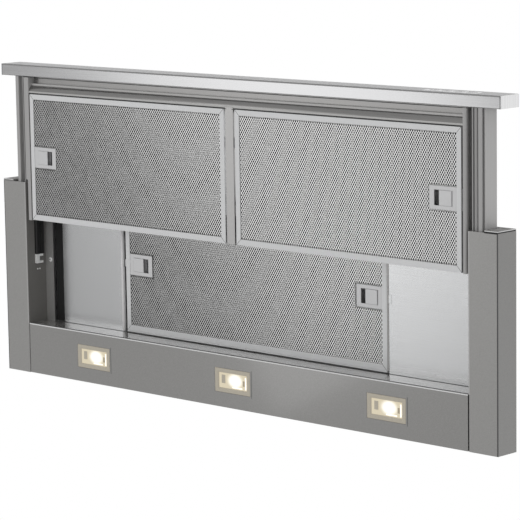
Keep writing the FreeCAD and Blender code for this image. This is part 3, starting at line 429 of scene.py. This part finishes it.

# Near black in the mesh's pits: painted shade in place of the depth behind real openings.
MESH_PIT_SHADE = plastic("painted_shade_in_mesh_pits", (0.05, 0.05, 0.05), 0.8)
# Black for the black plastic parts, and painted shadow in the gaps round the tray filters and behind the
# right cap.
BLACK = plastic("black_plastic", (0.012, 0.012, 0.012), 0.5)
WHITE = plastic("white_plastic", (0.93, 0.93, 0.92), 0.45)
LAMP_FRAME = plastic("lamp_frame_plastic", (0.64, 0.585, 0.48), 0.4)
LAMP_CREAM = plastic("lamp_cream", (0.60, 0.52, 0.38), 0.5)
BOARD = plastic("circuit_board", (0.02, 0.10, 0.05), 0.5)
BUTTON = plastic("button_plastic", (0.50, 0.50, 0.505), 0.3)
CAP = plastic("cap_grey_plastic", (0.33, 0.325, 0.32), 0.6, gloss=0.1)
# Dark sheet on the casings' inner walls: painted shade.
SHADE = plastic("painted_inner_shade", (0.20, 0.195, 0.185), 0.5, gloss=0.2)
FOAM = plastic("seal_foam", (0.014, 0.014, 0.014), 0.9, 500)
# Dark grey for the filters' mitre joints, and painted shadow in folds, slots, gaps and beside the lamp
# bezels.
SEAM_AND_SHADOW = plastic("seam_shadow", (0.10, 0.10, 0.10), 0.7)
# Grey lines on the front strip's underside: painted shade along its folds and rear edge, and its end seams.
FOLD_SHADE = plastic("fold_shade_line", (0.38, 0.38, 0.38), 0.7, gloss=0.2)
# Glowing white patches in the lamp windows: painted light of the lamp on the windows' inner walls.
LAMP_WHITE = lamp_glow("painted_lamp_light_edge", [(0, 0, 0)], BRIGHT_AWAY)


# Filter meshes

class Slab:
    """Faces of a slab of diamond cells, with shared outer corners and pits painted dark as shade."""

    def __init__(self, cells, front, back):
        self.cells = cells
        self.front = front
        self.back = back
        self.verts = []
        self.index = {}
        self.faces = []
        self.dark = []

    def vertex(self, key, place):
        """The number of a corner, which is made where it is new."""
        if key not in self.index:
            self.index[key] = len(self.verts)
            self.verts.append(place)
        return self.index[key]

    def ring(self, cell, kind, share, z):
        """Four corners of a diamond, shared with its neighbours where it fills its cell."""
        i, j = cell
        x, y = self.cells[cell]
        corners = []
        for u, v in DIAMOND:
            key = (kind, i + u, j + v) if share == 1 else (kind, i, j, u, v)
            corners.append(self.vertex(key, (x + u * MESH_HALF[0] * share, y + v * MESH_HALF[1] * share, z)))
        return corners

    def add(self, corners, dark=False):
        """A face, which may lie in a pit painted dark as shade."""
        if dark:
            self.dark.append(len(self.faces))
        self.faces.append(corners)

    def add_back_pit(self, cell, outer):
        """The back of a cell, with a pointed pit."""
        hole = self.ring(cell, "hole", MESH_OPEN, self.back)
        apex = self.vertex(("apex", *cell), (*self.cells[cell], self.back - MESH_DEPTH))
        for k in range(CORNERS):
            after = (k + 1) % CORNERS
            self.add([outer[k], outer[after], hole[after], hole[k]])
            self.add([hole[k], hole[after], apex], dark=True)

    def add_cell(self, cell, two_sided):
        """A diamond with a tapered pit in its front and, if asked, a pit in its back."""
        i, j = cell
        front = self.ring(cell, "front", 1, self.front)
        mouth = self.ring(cell, "mouth", MESH_OPEN, self.front)
        floor = self.ring(cell, "floor", MESH_FLOOR, self.front + MESH_DEPTH)
        back = self.ring(cell, "back", 1, self.back)
        self.add(floor[::-1], dark=True)
        if two_sided:
            self.add_back_pit(cell, back)
        else:
            self.add(back)
        for k in range(CORNERS):
            after = (k + 1) % CORNERS
            self.add([front[after], front[k], mouth[k], mouth[after]])
            self.add([mouth[after], mouth[k], floor[k], floor[after]], dark=True)
            beside = (i + DIAMOND[k][0] + DIAMOND[after][0], j + DIAMOND[k][1] + DIAMOND[after][1])
            if beside not in self.cells:
                self.add([front[k], front[after], back[after], back[k]])

    def to_mesh(self, name):
        """A mesh of metal faces and pits in painted shade, laid out for its own texture."""
        mesh = bpy.data.meshes.new(name)
        mesh.from_pydata(self.verts, [], self.faces)
        mesh.materials.append(MESH_METAL)
        mesh.materials.append(MESH_PIT_SHADE)
        for face in self.dark:
            mesh.polygons[face].material_index = 1
        unfold(mesh, self.front, self.back)
        mesh.validate()
        mesh.update()
        return mesh


def unfold(mesh, front, back):
    """Lays the slab out flat from below, and its back beside its front."""
    spans = []
    for axis in (0, 1):
        places = [vertex.co[axis] for vertex in mesh.vertices]
        spans.append((min(places), max(places)))
    size = max(high - low for low, high in spans)
    layer = mesh.uv_layers.new(name="OFBake")
    for face in mesh.polygons:
        behind = all(mesh.vertices[v].co.z > back - BACK_DEPTH for v in face.vertices)
        for loop, v in zip(face.loop_indices, face.vertices):
            spot = mesh.vertices[v].co
            slant = (spot.z - front) * UV_SLANT
            across = (spot.x - spans[0][0] + slant) / size
            along = (spot.y - spans[1][0] + slant) / size
            layer.data[loop].uv = (across * UV_SIZE[0], along * UV_SIZE[1] + (UV_BACK if behind else 0.0))


def lattice(low, high):
    """Centres of the diamond cells that lie in a rectangle, row by row."""
    half_x, half_y = MESH_HALF
    middle = (low + high) / 2
    columns = int((high.x - low.x) / half_x / 2) - 1
    rows = int((high.y - low.y) / half_y / 2) - 1
    for j in range(-rows, rows + 1):
        for i in range(-columns, columns + 1):
            if (i + j) % 2 == 0:
                yield (i, j), (middle.x + i * half_x, middle.y + j * half_y)


def inside(x, y, keep_out):
    """True where a point lies in one of the (low, high) rectangles."""
    return any(low.x < x < high.x and low.y < y < high.y for low, high in keep_out)


def expanded_mesh(name, node, body, latches, two_sided):
    """Mesh pack of a filter: a slab with staggered diamond pits in painted shade for openings, clear of its
    latches.
    """
    low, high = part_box(node)
    tuck = FRAME_BORDER - FRAME_SKIN - MESH_TUCK
    inset = Vector((tuck, tuck, 0))
    margin = Vector((LATCH_CLEAR, LATCH_CLEAR, 0))
    keep_out = [(latch_low - margin, latch_high + margin) for latch_low, latch_high in latches]
    spots = lattice(low + inset, high - inset)
    slab = Slab({cell: spot for cell, spot in spots if not inside(*spot, keep_out)}, low.z, high.z)
    for cell in slab.cells:
        slab.add_cell(cell, two_sided)
    piece = new_object(name, slab.to_mesh(name), body)
    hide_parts(node)


def build_filters():
    """The three mesh packs; the tray's two are seen from both sides."""
    for side in ("left", "right"):
        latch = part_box(side + "_latch_housing")
        expanded_mesh(side + "_mesh_pack", side + "_filter_mesh", side + "_filter", [latch], True)
    latch_low, latch_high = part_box("right_latch_housing")
    length = latch_high.x - latch_low.x
    low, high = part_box("rear_latch_housings")
    pair = [(low, Vector((low.x + length, high.y, high.z))), (Vector((high.x - length, low.y, low.z)), high)]
    expanded_mesh("rear_mesh_pack", "rear_filter_mesh", "rear_filter", pair, False)


# Ways to build details

def block(bm, one, other):
    """Adds a block between two corners."""
    low = Vector(map(min, one, other))
    high = Vector(map(max, one, other))
    turn = Matrix.Translation((low + high) / 2) @ Matrix.Diagonal((*(high - low), 1))
    bmesh.ops.create_cube(bm, size=1.0, matrix=turn)


def bar(bm, start, end, width, height):
    """Adds a thin level bar between two points."""
    start, end = Vector(start), Vector(end)
    run = end - start
    turn = Matrix.Translation((start + end) / 2) @ run.to_track_quat("X", "Z").to_matrix().to_4x4()
    bmesh.ops.create_cube(bm, size=1.0, matrix=turn @ Matrix.Diagonal((run.length, width, height, 1)))


def dome(bm, seat, out, radius, height):
    """Adds a low round head on a seat, standing out along a direction."""
    turn = Matrix.Translation(seat) @ Vector(out).to_track_quat("Z", "X").to_matrix().to_4x4()
    rings = []
    for share, rise in DOME_PROFILE:
        ring = []
        for k in range(DOME_SIDES):
            angle = 2 * math.pi * k / DOME_SIDES
            spot = (radius * share * math.cos(angle), radius * share * math.sin(angle), height * rise)
            ring.append(bm.verts.new(turn @ Vector(spot)))
        rings.append(ring)
    for below, above in zip(rings, rings[1:]):
        for k in range(DOME_SIDES):
            after = (k + 1) % DOME_SIDES
            bm.faces.new((below[k], below[after], above[after], above[k]))
    bm.faces.new(rings[0][::-1])
    bm.faces.new(rings[-1])


def offset_line(line, thickness):
    """The far side of a thin sheet whose near side follows a line of (x, z) points."""
    out = []
    for k, spot in enumerate(line):
        before = Vector(line[max(k - 1, 0)])
        after = Vector(line[min(k + 1, len(line) - 1)])
        along = (after - before).normalized()
        out.append(Vector(spot) + Vector((-along.y, along.x)) * thickness)
    return out


def folded_sheet(bm, line, depth):
    """Adds a closed bent sheet that runs from front to back."""
    near = [Vector(spot) for spot in line]
    loop = near + offset_line(line, SHEET)[::-1]
    ends = [[bm.verts.new((spot.x, y, spot.y)) for spot in loop] for y in depth]
    count = len(loop)
    for k in range(count):
        after = (k + 1) % count
        bm.faces.new((ends[0][k], ends[0][after], ends[1][after], ends[1][k]))
    for k in range(len(near) - 1):
        mirror = count - 1 - k
        bm.faces.new((ends[0][k + 1], ends[0][k], ends[0][mirror], ends[0][mirror - 1]))
        bm.faces.new((ends[1][k], ends[1][k + 1], ends[1][mirror - 1], ends[1][mirror]))


def finished(bm, name, edge, body, material):
    """Rounds the edges of a detail mesh, if asked, and links it as a piece."""
    if edge:
        bmesh.ops.bevel(bm, geom=bm.edges[:], offset=edge, segments=EDGE_SEGMENTS, affect="EDGES",
                        profile=EDGE_PROFILE)
    mesh = bpy.data.meshes.new(name)
    bm.to_mesh(mesh)
    bm.free()
    piece = new_object(name, mesh, body)
    wear(piece, material)
    return piece


# Liner and rear filter

def add_ceiling_liner():
    """Pale liner above the tray bay, rolled up along the left of the intake, cut back at the bolts."""
    low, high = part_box("ceiling_plate")
    frame_low, frame_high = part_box("rear_filter_frame")
    bolt_low, bolt_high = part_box("rear_left_latch_slider")
    z = low.z + SHEET
    left, right = frame_low.x - LINER_GAP[0], frame_high.x + LINER_GAP[1]
    middle = (bolt_low.y + bolt_high.y) / 2
    turns = [math.pi / 2 * k / ROLL_STEPS for k in range(ROLL_STEPS + 1)]
    roll = [(left - LINER_ROLL * (1 - math.sin(t)), z + LINER_ROLL * (1 - math.cos(t))) for t in turns]
    hem = roll + [(left, high.z - SHEET / 2)]
    jog = [(x - LINER_JOG, up) for x, up in roll] + [(left - LINER_JOG, high.z - JOG_TOP)]
    notch = frame_high.x + LINER_NOTCH
    stops = (low.y, middle - LINER_SLOT, middle + LINER_SLOT, high.y)
    bm = bmesh.new()
    for span, edge, start in zip(zip(stops, stops[1:]), (hem, jog, hem), (right, notch, right)):
        folded_sheet(bm, [(low.x, high.z), (low.x, z)] + edge, span)
        folded_sheet(bm, [(start, z), (high.x + LINER_TAIL, z)], span)
    front = frame_low.y + LINER_FRONT
    folded_sheet(bm, [(left - LINER_ROLL, z), (right, z)], (low.y, front))
    bmesh.ops.recalc_face_normals(bm, faces=bm.faces[:])
    piece = finished(bm, "ceiling_liner", 0, "hood", LINER)
    # The liner's roll along the intake is painted white as a highlight.
    piece.data.materials.append(WHITE_HIGHLIGHT)
    for face in piece.data.polygons:
        if left - LINER_ROLL < face.center.x < left + SHEET and face.center.y > front:
            face.material_index = 1
    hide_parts("ceiling_plate")


def frame_box(name):
    """Corners of a filter's channel frame, without its hinge or feet."""
    low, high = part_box(name + "_mesh")
    skin = Vector((FRAME_SKIN,) * 3)
    return low - skin, high + skin


def add_frame_seams():
    """Mitre joints in the corners of the filter frames, on both faces."""
    for name in ("left_filter", "right_filter", "rear_filter"):
        low, high = frame_box(name)
        bm = bmesh.new()
        for z in (low.z, high.z):
            for x, way_x in ((low.x, 1), (high.x, -1)):
                for y, way_y in ((low.y, 1), (high.y, -1)):
                    start = (x + way_x * SEAM_START, y + way_y * SEAM_START, z)
                    end = (x + way_x * FRAME_BORDER, y + way_y * FRAME_BORDER, z)
                    bar(bm, start, end, SEAM_WIDTH, SEAM_HEIGHT)
        finished(bm, name + "_mitres", 0, name, SEAM_AND_SHADOW)


def add_filter_lips():
    """A grey strip beside the liner that paints light over the shaded gap at the rear filter's side, a thin
    edge beside the lamp panel, and a tab under its right bolt.
    """
    low, high = frame_box("rear_filter")
    side, tab, rear = bmesh.new(), bmesh.new(), bmesh.new()
    outer = high.x + SIDE_STRIP_WIDTH
    block(side, (high.x, low.y, low.z + SIDE_STRIP_RISE), (outer, high.y, low.z + SIDE_STRIP_RISE + SHEET))
    finished(side, "rear_filter_side_light_strip", LIP_ROUND, "rear_filter", STEEL_GREY)
    bolt_low, bolt_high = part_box("rear_right_latch_slider")
    middle = (bolt_low.y + bolt_high.y) / 2
    reach = LINER_SLOT - TAB_PLAY
    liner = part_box("ceiling_plate")[0].z + SHEET
    tab_end = high.x + LINER_NOTCH - TAB_PLAY
    block(tab, (outer, middle - reach, liner), (tab_end, middle + reach, liner + SHEET))
    finished(tab, "rear_filter_tab", 0, "rear_filter", LINER)
    block(rear, (low.x, high.y, low.z), (high.x, high.y + LIP_REAR, low.z + SHEET))
    finished(rear, "rear_filter_rear_lip", LIP_ROUND, "rear_filter", FRAME_METAL)


# Tray

def add_fascia_seams():
    """Painted shade along the front fold and the rear edge of the front strip's underside, and dark seams at
    its ends.
    """
    low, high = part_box("fascia")
    front, rear = low.y + FOLD_INSET, high.y - FOLD_INSET / 2
    bm = bmesh.new()
    bar(bm, (low.x, front, low.z), (high.x, front, low.z), FOLD_WIDTH, SEAM_HEIGHT)
    bar(bm, (low.x, rear, low.z), (high.x, rear, low.z), FOLD_WIDTH / 2, SEAM_HEIGHT)
    for x in (low.x + FOLD_WIDTH / 2, high.x - FOLD_WIDTH / 2):
        bar(bm, (x, front, low.z), (x, high.y, low.z), FOLD_WIDTH, SEAM_HEIGHT)
    finished(bm, "fascia_seams", 0, "tray", FOLD_SHADE)


def add_front_skin():
    """Satin skin on the front strip, left open round the control bezel."""
    low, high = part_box("fascia")
    bezel_low, bezel_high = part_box("control_bezel")
    gap = Vector((SEAM_WIDTH, 0, SEAM_WIDTH))
    hole_low, hole_high = bezel_low - gap, bezel_high + gap
    bm = bmesh.new()

    def plate(x, z):
        """Adds one field of the skin."""
        block(bm, (x[0], low.y - SKIN_THICK, z[0]), (x[1], low.y, z[1]))

    plate((low.x, hole_low.x), (low.z, high.z))
    plate((hole_high.x, high.x), (low.z, high.z))
    plate((hole_low.x, hole_high.x), (low.z, hole_low.z))
    plate((hole_low.x, hole_high.x), (hole_high.z, high.z))
    finished(bm, "fascia_front_skin", 0, "tray", FRONT)


def add_tray_light_strip():
    """Painted light: a flat strip along the left member of the tray, over the gap that would lie in shade,
    wider ahead of the casing.
    """
    low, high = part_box("left_tray_side")
    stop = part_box("left_side_casing")[0].y - LIGHT_STRIP_STOP
    inner = high.x - LIGHT_STRIP_INSET
    bottom, top = low.z - LIGHT_STRIP_DROP, low.z + LIGHT_STRIP_DROP
    bm = bmesh.new()
    block(bm, (inner - LIGHT_STRIP_WIDE, low.y, bottom), (inner, stop, top))
    block(bm, (inner - LIGHT_STRIP_NARROW, stop, bottom), (inner, high.y, top))
    finished(bm, "tray_side_painted_light", 0, "tray", RAIL)


def add_channel_lines():
    """Finger channel: a painted shadow line behind the front strip, and a bead and a lip in lighter grey as
    painted highlight.
    """
    low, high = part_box("tray_front_channel")
    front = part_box("left_filter_frame")[0].y
    roof = low.z + CHANNEL_ROOF
    dark, bright = bmesh.new(), bmesh.new()
    block(dark, (low.x, low.y + CHANNEL_LINE[0], roof - SEAM_HEIGHT), (high.x, low.y + CHANNEL_LINE[1], roof))
    block(bright, (low.x, low.y + CHANNEL_BEAD[0], roof - BEAD_RISE), (high.x, low.y + CHANNEL_BEAD[1], roof))
    block(bright, (low.x, front - CHANNEL_LIP[0], low.z - SEAM_HEIGHT),
          (high.x, front - CHANNEL_LIP[1], low.z + SHEET / 2))
    finished(dark, "channel_line", 0, "tray", SEAM_AND_SHADOW)
    finished(bright, "channel_bead", 0, "tray", EDGE_HIGHLIGHT)


def add_tray_gaps():
    """Painted shadow in the gaps round the tray filters, open where their bolts swing through."""
    low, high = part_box("tray_front_channel")
    frame_low, frame_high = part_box("right_filter_frame")
    latch_low, latch_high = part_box("right_latch_slider")
    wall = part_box("right_tray_side")[0].x
    front, top = frame_low.y, low.z + SHEET / 2
    bm = bmesh.new()
    block(bm, (low.x, front - CHANNEL_LIP[1], low.z - SEAM_HEIGHT), (high.x, front - GAP_LINE, top))
    for side in SIDES:
        edge = side * (frame_high.x + GAP_LINE)
        for start, end in ((front, latch_low.y - SHEET), (latch_high.y + SHEET, frame_high.y)):
            block(bm, (edge, start, low.z), (side * wall, end, top))
    finished(bm, "tray_gap_lines", 0, "tray", BLACK)


def add_filter_edge_lines():
    """Painted shadow lines along the front and outer edges of the tray filters."""
    for name, way in (("left_filter", 1), ("right_filter", -1)):
        low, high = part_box(name + "_frame")
        outer, inner = (low.x, high.x) if way > 0 else (high.x, low.x)
        across, along = low.y + EDGE_LINE / 2, outer + way * EDGE_LINE / 2
        bm = bmesh.new()
        bar(bm, (outer, across, low.z), (inner, across, low.z), EDGE_LINE, SEAM_HEIGHT)
        bar(bm, (along, low.y + EDGE_LINE, low.z), (along, high.y, low.z), EDGE_LINE, SEAM_HEIGHT)
        finished(bm, name + "_edge_line", 0, name, BLACK)


# Casings and lamp panel

def add_cap_gap_shades():
    """Painted shade in the gaps behind the casings' front caps and along the casings' front edges: cap grey
    on the left, black on the right.
    """
    low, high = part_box("right_side_casing")
    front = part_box("right_casing_cap")[0].y
    for side, name, gap_shade in ((-1, "left_cap_gap_shade", CAP), (1, "right_cap_gap_shade", BLACK)):
        inner, edge = side * (high.x - CAP_WIDTH), side * high.x
        bm = bmesh.new()
        block(bm, (inner, front + SHEET, low.z + CAP_SHADE_INSET),
              (edge - side * CAP_SHADE_INSET, low.y - SEAM_HEIGHT, high.z - CAP_SHADE_INSET))
        block(bm, (inner, low.y - SEAM_HEIGHT, low.z - SEAM_HEIGHT),
              (edge, low.y + CAP_SHADE_LINE, low.z + SEAM_HEIGHT))
        finished(bm, name, 0, "hood", gap_shade)


def add_casing_sides():
    """Painted shade along the casings' outer fold lines, and a darker skin that paints shade on their outer
    sides.
    """
    low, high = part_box("right_side_casing")
    folds, side_shades = bmesh.new(), bmesh.new()
    for side in SIDES:
        edge, hair = side * high.x, side * SEAM_HEIGHT
        block(folds, (edge - side * CASING_FOLD, low.y, low.z - SEAM_HEIGHT),
              (edge, high.y, low.z + SEAM_HEIGHT))
        block(folds, (edge - hair, low.y, low.z), (edge + hair, high.y, low.z + CASING_FOLD))
        block(side_shades, (edge, low.y, low.z + CASING_FOLD), (edge + side * SKIN_THICK, high.y, high.z))
    finished(folds, "casing_folds", 0, "hood", SEAM_AND_SHADOW)
    finished(side_shades, "casing_side_painted_shade", 0, "hood", SIDE_SHADE)


def add_cap_rims():
    """Painted highlight on the rims of the casings' front caps, underneath and on the outer side."""
    low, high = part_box("right_side_casing")
    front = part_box("right_casing_cap")[0].y
    rear = front + CAP_RIM
    bm = bmesh.new()
    for side in SIDES:
        edge, hair = side * high.x, side * SEAM_HEIGHT
        block(bm, (side * (high.x - CAP_WIDTH), front, low.z - SEAM_HEIGHT),
              (edge + hair, rear, low.z + SEAM_HEIGHT))
        block(bm, (edge - hair, front, low.z), (edge + hair, rear, high.z))
    finished(bm, "cap_rims", 0, "hood", WHITE_HIGHLIGHT)


def add_casing_linings():
    """Painted highlight along the casings' inner edges, and painted shade on their inner walls."""
    low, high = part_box("right_side_casing")
    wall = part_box("right_tray_runner")[1].x
    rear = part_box("lamp_panel")[0].y
    edges, inner_shades = bmesh.new(), bmesh.new()
    for side in SIDES:
        # Painted highlight along each casing's inner lower edge.
        block(edges, (side * wall, low.y, low.z - SEAM_HEIGHT),
              (side * (wall + CASING_EDGE), rear, low.z + SEAM_HEIGHT))
        # Painted shade over each casing's inner wall.
        block(inner_shades, (side * wall, low.y + SHEET, low.z + SHEET),
              (side * (wall - INNER_SHADE_THICK), rear, high.z - SHEET))
    finished(edges, "casing_inner_edges", 0, "hood", EDGE_HIGHLIGHT)
    finished(inner_shades, "casing_inner_painted_shade", 0, "hood", SHADE)


def add_panel_edge():
    """The lamp panel's front fold: a painted highlight along its rounded edge, with a painted shadow line
    above it.
    """
    low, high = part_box("lamp_panel")
    front = low.y - SEAM_HEIGHT
    bright, dark = bmesh.new(), bmesh.new()
    block(bright, (low.x, front, low.z - SEAM_HEIGHT), (high.x, low.y + PANEL_FOLD, low.z + SHEET))
    finished(bright, "panel_fold", SEAM_HEIGHT, "hood", WHITE_HIGHLIGHT)
    block(dark, (low.x, front, low.z + SHEET), (high.x, low.y + SEAM_HEIGHT, low.z + PANEL_SHADE))
    finished(dark, "panel_fold_line", 0, "hood", SEAM_AND_SHADOW)


# Lamps

def lens_layout():
    """Centres of the windows in the lamp covers, and the size of a window."""
    low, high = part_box("lamp_lenses")
    depth = high.y - low.y - LENS_RIM
    size = Vector((depth * LENS_ASPECT, depth, 0))
    pitch = (high.x - low.x - size.x - LENS_RIM) / 2
    middle = (low + high) / 2
    centres = [Vector((middle.x + step * pitch, middle.y, low.z)) for step in (-1, 0, 1)]
    return centres, size


def dress_lamps():
    """Lit covers for the lamps, with their hot spots a little right of the middle."""
    centres, size = lens_layout()
    shift = Vector((GLOW_SHIFT * size.x, -GLOW_FORWARD, 0))
    wear(NODES["lamp_lenses"], lamp_glow("lit_lamp_cover", [centre + shift for centre in centres], GLOW_AWAY))


def patch(bm, corner, size, across, along):
    """Adds a thin block that covers shares of a lamp window's width and depth."""
    block(bm, corner + Vector((across[0] * size.x, along[0] * size.y, -PATCH_DEPTH[0])),
          corner + Vector((across[1] * size.x, along[1] * size.y, PATCH_DEPTH[1])))


def add_lamp_details():
    """Beige chip, cream block and glowing edges in each lamp window, the edges painted lamp light, and a
    painted shadow line beside its bezel.
    """
    centres, size = lens_layout()
    low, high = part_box("lamp_bezels")
    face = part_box("lamp_panel")[0].z
    chips, creams, edges, shadows = [bmesh.new() for _ in range(4)]
    for centre in centres:
        corner = centre - size / 2
        patch(chips, corner, size, *CHIP_PATCH)
        patch(creams, corner, size, *BLOCK_PATCH)
        for place in BRIGHT_PATCHES:
            patch(edges, corner, size, *place)
        right = high.x + centre.x - centres[-1].x
        block(shadows, (right, low.y, face - SEAM_HEIGHT), (right + EDGE_LINE, high.y, face))
    finished(shadows, "lamp_shadow_lines", 0, "hood", SEAM_AND_SHADOW)
    finished(chips, "lamp_chips", PATCH_ROUND, "hood", LAMP_FRAME)
    finished(creams, "lamp_cream_blocks", PATCH_ROUND, "hood", LAMP_CREAM)
    finished(edges, "lamp_painted_light_edges", PATCH_ROUND, "hood", LAMP_WHITE)


# Fasteners

def add_screw_heads():
    """Round cross-slotted heads in place of the plain ones under the casings' flanges."""
    low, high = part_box("casing_screws")
    height = high.z - low.z
    radius = height * SCREW_ASPECT
    heads, slots = bmesh.new(), bmesh.new()
    for x in (low.x + radius, high.x - radius):
        for y in (low.y + radius, (low.y + high.y) / 2, high.y - radius):
            dome(heads, (x, y, high.z), DOWN, radius, height * SCREW_FILL)
            spot = Vector((x, y, low.z + SLOT_DEPTH / 2))
            for way in (Vector((1, 0, 0)), Vector((0, 1, 0))):
                reach = way * radius * SLOT_REACH
                bar(slots, spot - reach, spot + reach, radius * SLOT_WIDTH, SLOT_DEPTH)
    piece = finished(heads, "casing_screw_heads", 0, "hood", WHITE)
    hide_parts("casing_screws")
    # Slots in the screw heads painted dark: painted shade in the recesses.
    finished(slots, "casing_screw_slots", 0, "hood", SEAM_AND_SHADOW)


def add_small_marks():
    """Rivets by the slide strips, and the pips on the lamp panel's fold."""
    low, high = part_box("right_rail_glide")
    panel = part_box("lamp_panel")[0]
    pip_x, pip_y, pip_z = PIP_PLACE
    rivets, pips = bmesh.new(), bmesh.new()
    for side in SIDES:
        for rise in RIVET_RISE:
            dome(rivets, (side * high.x, high.y + RIVET_BACK, low.z + rise), (-side, 0, 0), *RIVET_HEAD)
        dome(pips, (side * pip_x, panel.y + pip_y, panel.z + pip_z), DOWN, *PIP_HEAD)
    finished(rivets, "wall_rivets", 0, "hood", WHITE)
    finished(pips, "panel_pips", 0, "hood", WHITE)


def add_blower_screws():
    """Sheet screws on the blower box and the collar's flange."""
    low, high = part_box("motor_housing")
    collar_low, collar_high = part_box("outlet_collar")
    centre = (collar_low + collar_high) / 2
    inset = BOX_SCREW_INSET
    step = (1 - 2 * BOX_SCREW_END) / (BOX_SCREWS - 1)
    bm = bmesh.new()
    for index in range(BOX_SCREWS):
        x = low.x + (BOX_SCREW_END + index * step) * (high.x - low.x)
        for y in (low.y + inset, high.y - inset):
            if (Vector((x, y)) - centre.xy).length > COLLAR_CLEAR:
                dome(bm, (x, y, high.z - BOX_SCREW_SUNK), UP, *BOX_SCREW)
        dome(bm, (x, low.y, low.z + inset), (0, -1, 0), *BOX_SCREW)
        dome(bm, (x, high.y, low.z + inset), (0, 1, 0), *BOX_SCREW)
    ring = (collar_high.x - collar_low.x) / 2 - COLLAR_SCREW_INSET
    for k in range(COLLAR_SCREWS):
        angle = math.pi * (2 * k + 1) / COLLAR_SCREWS
        offset = Vector((math.cos(angle), math.sin(angle))) * ring
        dome(bm, (*(centre.xy + offset), high.z + COLLAR_SCREW_RISE), UP, *COLLAR_SCREW)
    finished(bm, "sheet_screws", 0, "hood", BARE_STEEL)


# CAD nodes

def dress_nodes():
    """Materials and rounded edges for the CAD nodes, those that pieces stand for included."""
    looks = {
        PAINT: ["left_side_casing", "right_side_casing"],
        PANEL: ["lamp_panel"],
        CAP: ["left_casing_cap", "right_casing_cap"],
        STEEL_X: ["fascia", "control_bezel"],
        STEEL_END: ["fascia_ends"],
        STEEL_GREY: ["tray_front_channel", "tray_rear_bar"],
        FOAM: ["seal_strips"],
        STEEL_Y: ["tray_separator"],
        RAIL: ["left_tray_side", "right_tray_side", "left_tray_rail", "right_tray_rail"],
        LINER: ["ceiling_plate"],
        FRAME_METAL: ["left_filter_frame", "right_filter_frame", "rear_filter_frame"],
        LATCH_METAL: ["left_latch_housing", "right_latch_housing", "rear_latch_housings", "left_latch_slider",
                      "right_latch_slider", "rear_left_latch_slider", "rear_right_latch_slider"],
        ZINC: ["top_pan", "motor_housing", "left_guide_rail", "right_guide_rail"],
        BLACK: ["left_tray_runner", "right_tray_runner", "scroll_lower", "scroll_upper", "outlet_collar",
                "left_damper_flap", "right_damper_flap", "impeller", "electronics_box", "cable_gland"],
        WHITE: ["left_rail_glide", "right_rail_glide", "casing_screws", "capacitor"],
        LAMP_FRAME: ["lamp_bezels"],
        MOTOR: ["fan_motor"],
        BARE_STEEL: ["motor_shaft", "damper_pin"],
        BOARD: ["control_board", "led_modules"],
        BUTTON: ["push_button_1", "push_button_2", "push_button_3", "push_button_4"],
    }
    for material, names in looks.items():
        for name in names:
            wear(NODES[name], material)
            soften(NODES[name])


# Stage, light and camera

def add_floor():
    """A plain pale floor well below the hood."""
    bm = bmesh.new()
    corners = [(-1, -1), (1, -1), (1, 1), (-1, 1)]
    bm.faces.new([bm.verts.new((x * FLOOR_HALF, y * FLOOR_HALF, FLOOR_Z)) for x, y in corners])
    mesh = bpy.data.meshes.new("floor")
    bm.to_mesh(mesh)
    bm.free()
    floor = bpy.data.objects.new("floor", mesh)
    bpy.context.scene.collection.objects.link(floor)
    wear(floor, brushed("floor_white", FLOOR_COLOUR, 0.9, even(FLOOR_GRAIN), 0.01, 0.0, 0.0))


def add_world():
    """Soft ambient light, with a white background for what looks at it directly."""
    world = bpy.data.worlds.new("studio")
    bpy.context.scene.world = world
    world.use_nodes = True
    nodes, links = world.node_tree.nodes, world.node_tree.links
    sky = nodes["Background"]
    sky.inputs["Color"].default_value = (1, 1, 1, 1)
    path = nodes.new("ShaderNodeLightPath")
    direct = path.outputs["Is Camera Ray"]
    for ray in ("Is Glossy Ray", "Is Transmission Ray"):
        either = nodes.new("ShaderNodeMath")
        either.operation = "MAXIMUM"
        links.new(direct, either.inputs[0])
        links.new(path.outputs[ray], either.inputs[1])
        direct = either.outputs["Value"]
    level = nodes.new("ShaderNodeMapRange")
    level.inputs["To Min"].default_value = AMBIENT
    level.inputs["To Max"].default_value = 1.0
    links.new(direct, level.inputs["Value"])
    links.new(level.outputs["Result"], sky.inputs["Strength"])


def add_lamp(name, place, target, size, power, roll):
    """A large soft area light aimed at a point, rolled by some degrees."""
    light = bpy.data.lights.new(name, "AREA")
    light.shape = "RECTANGLE"
    light.size, light.size_y = size
    light.energy = power
    lamp = bpy.data.objects.new(name, light)
    lamp.location = place
    lamp.rotation_mode = "QUATERNION"
    turn = Quaternion((0, 0, 1), math.radians(roll))
    lamp.rotation_quaternion = (Vector(target) - Vector(place)).to_track_quat("-Z", "Y") @ turn
    bpy.context.scene.collection.objects.link(lamp)


def add_camera():
    """The photograph's camera: from below on the right, rolled so that the front is up."""
    data = bpy.data.cameras.new("camera")
    data.lens = CAMERA_LENS
    data.clip_end = CAMERA_FAR
    camera = bpy.data.objects.new("camera", data)
    bpy.context.scene.collection.objects.link(camera)
    right, up = Vector(CAMERA_RIGHT), Vector(CAMERA_UP)
    turn = Matrix((right, up, right.cross(up))).transposed().to_4x4()
    camera.matrix_world = Matrix.Translation(CAMERA_PLACE) @ turn
    bpy.context.scene.camera = camera


def add_stage():
    """Floor, world, lamps and camera."""
    bpy.context.scene.view_settings.view_transform = "Standard"
    add_floor()
    add_world()
    for name, values in SOFT_LAMPS.items():
        add_lamp(name, *values)
    add_camera()


dress_nodes()
dress_lamps()
build_filters()
add_ceiling_liner()
add_frame_seams()
add_filter_lips()
add_fascia_seams()
add_front_skin()
add_cap_gap_shades()
add_casing_sides()
add_cap_rims()
add_casing_linings()
add_panel_edge()
add_tray_light_strip()
add_channel_lines()
add_tray_gaps()
add_filter_edge_lines()
add_screw_heads()
add_lamp_details()
add_small_marks()
add_blower_screws()
add_stage()
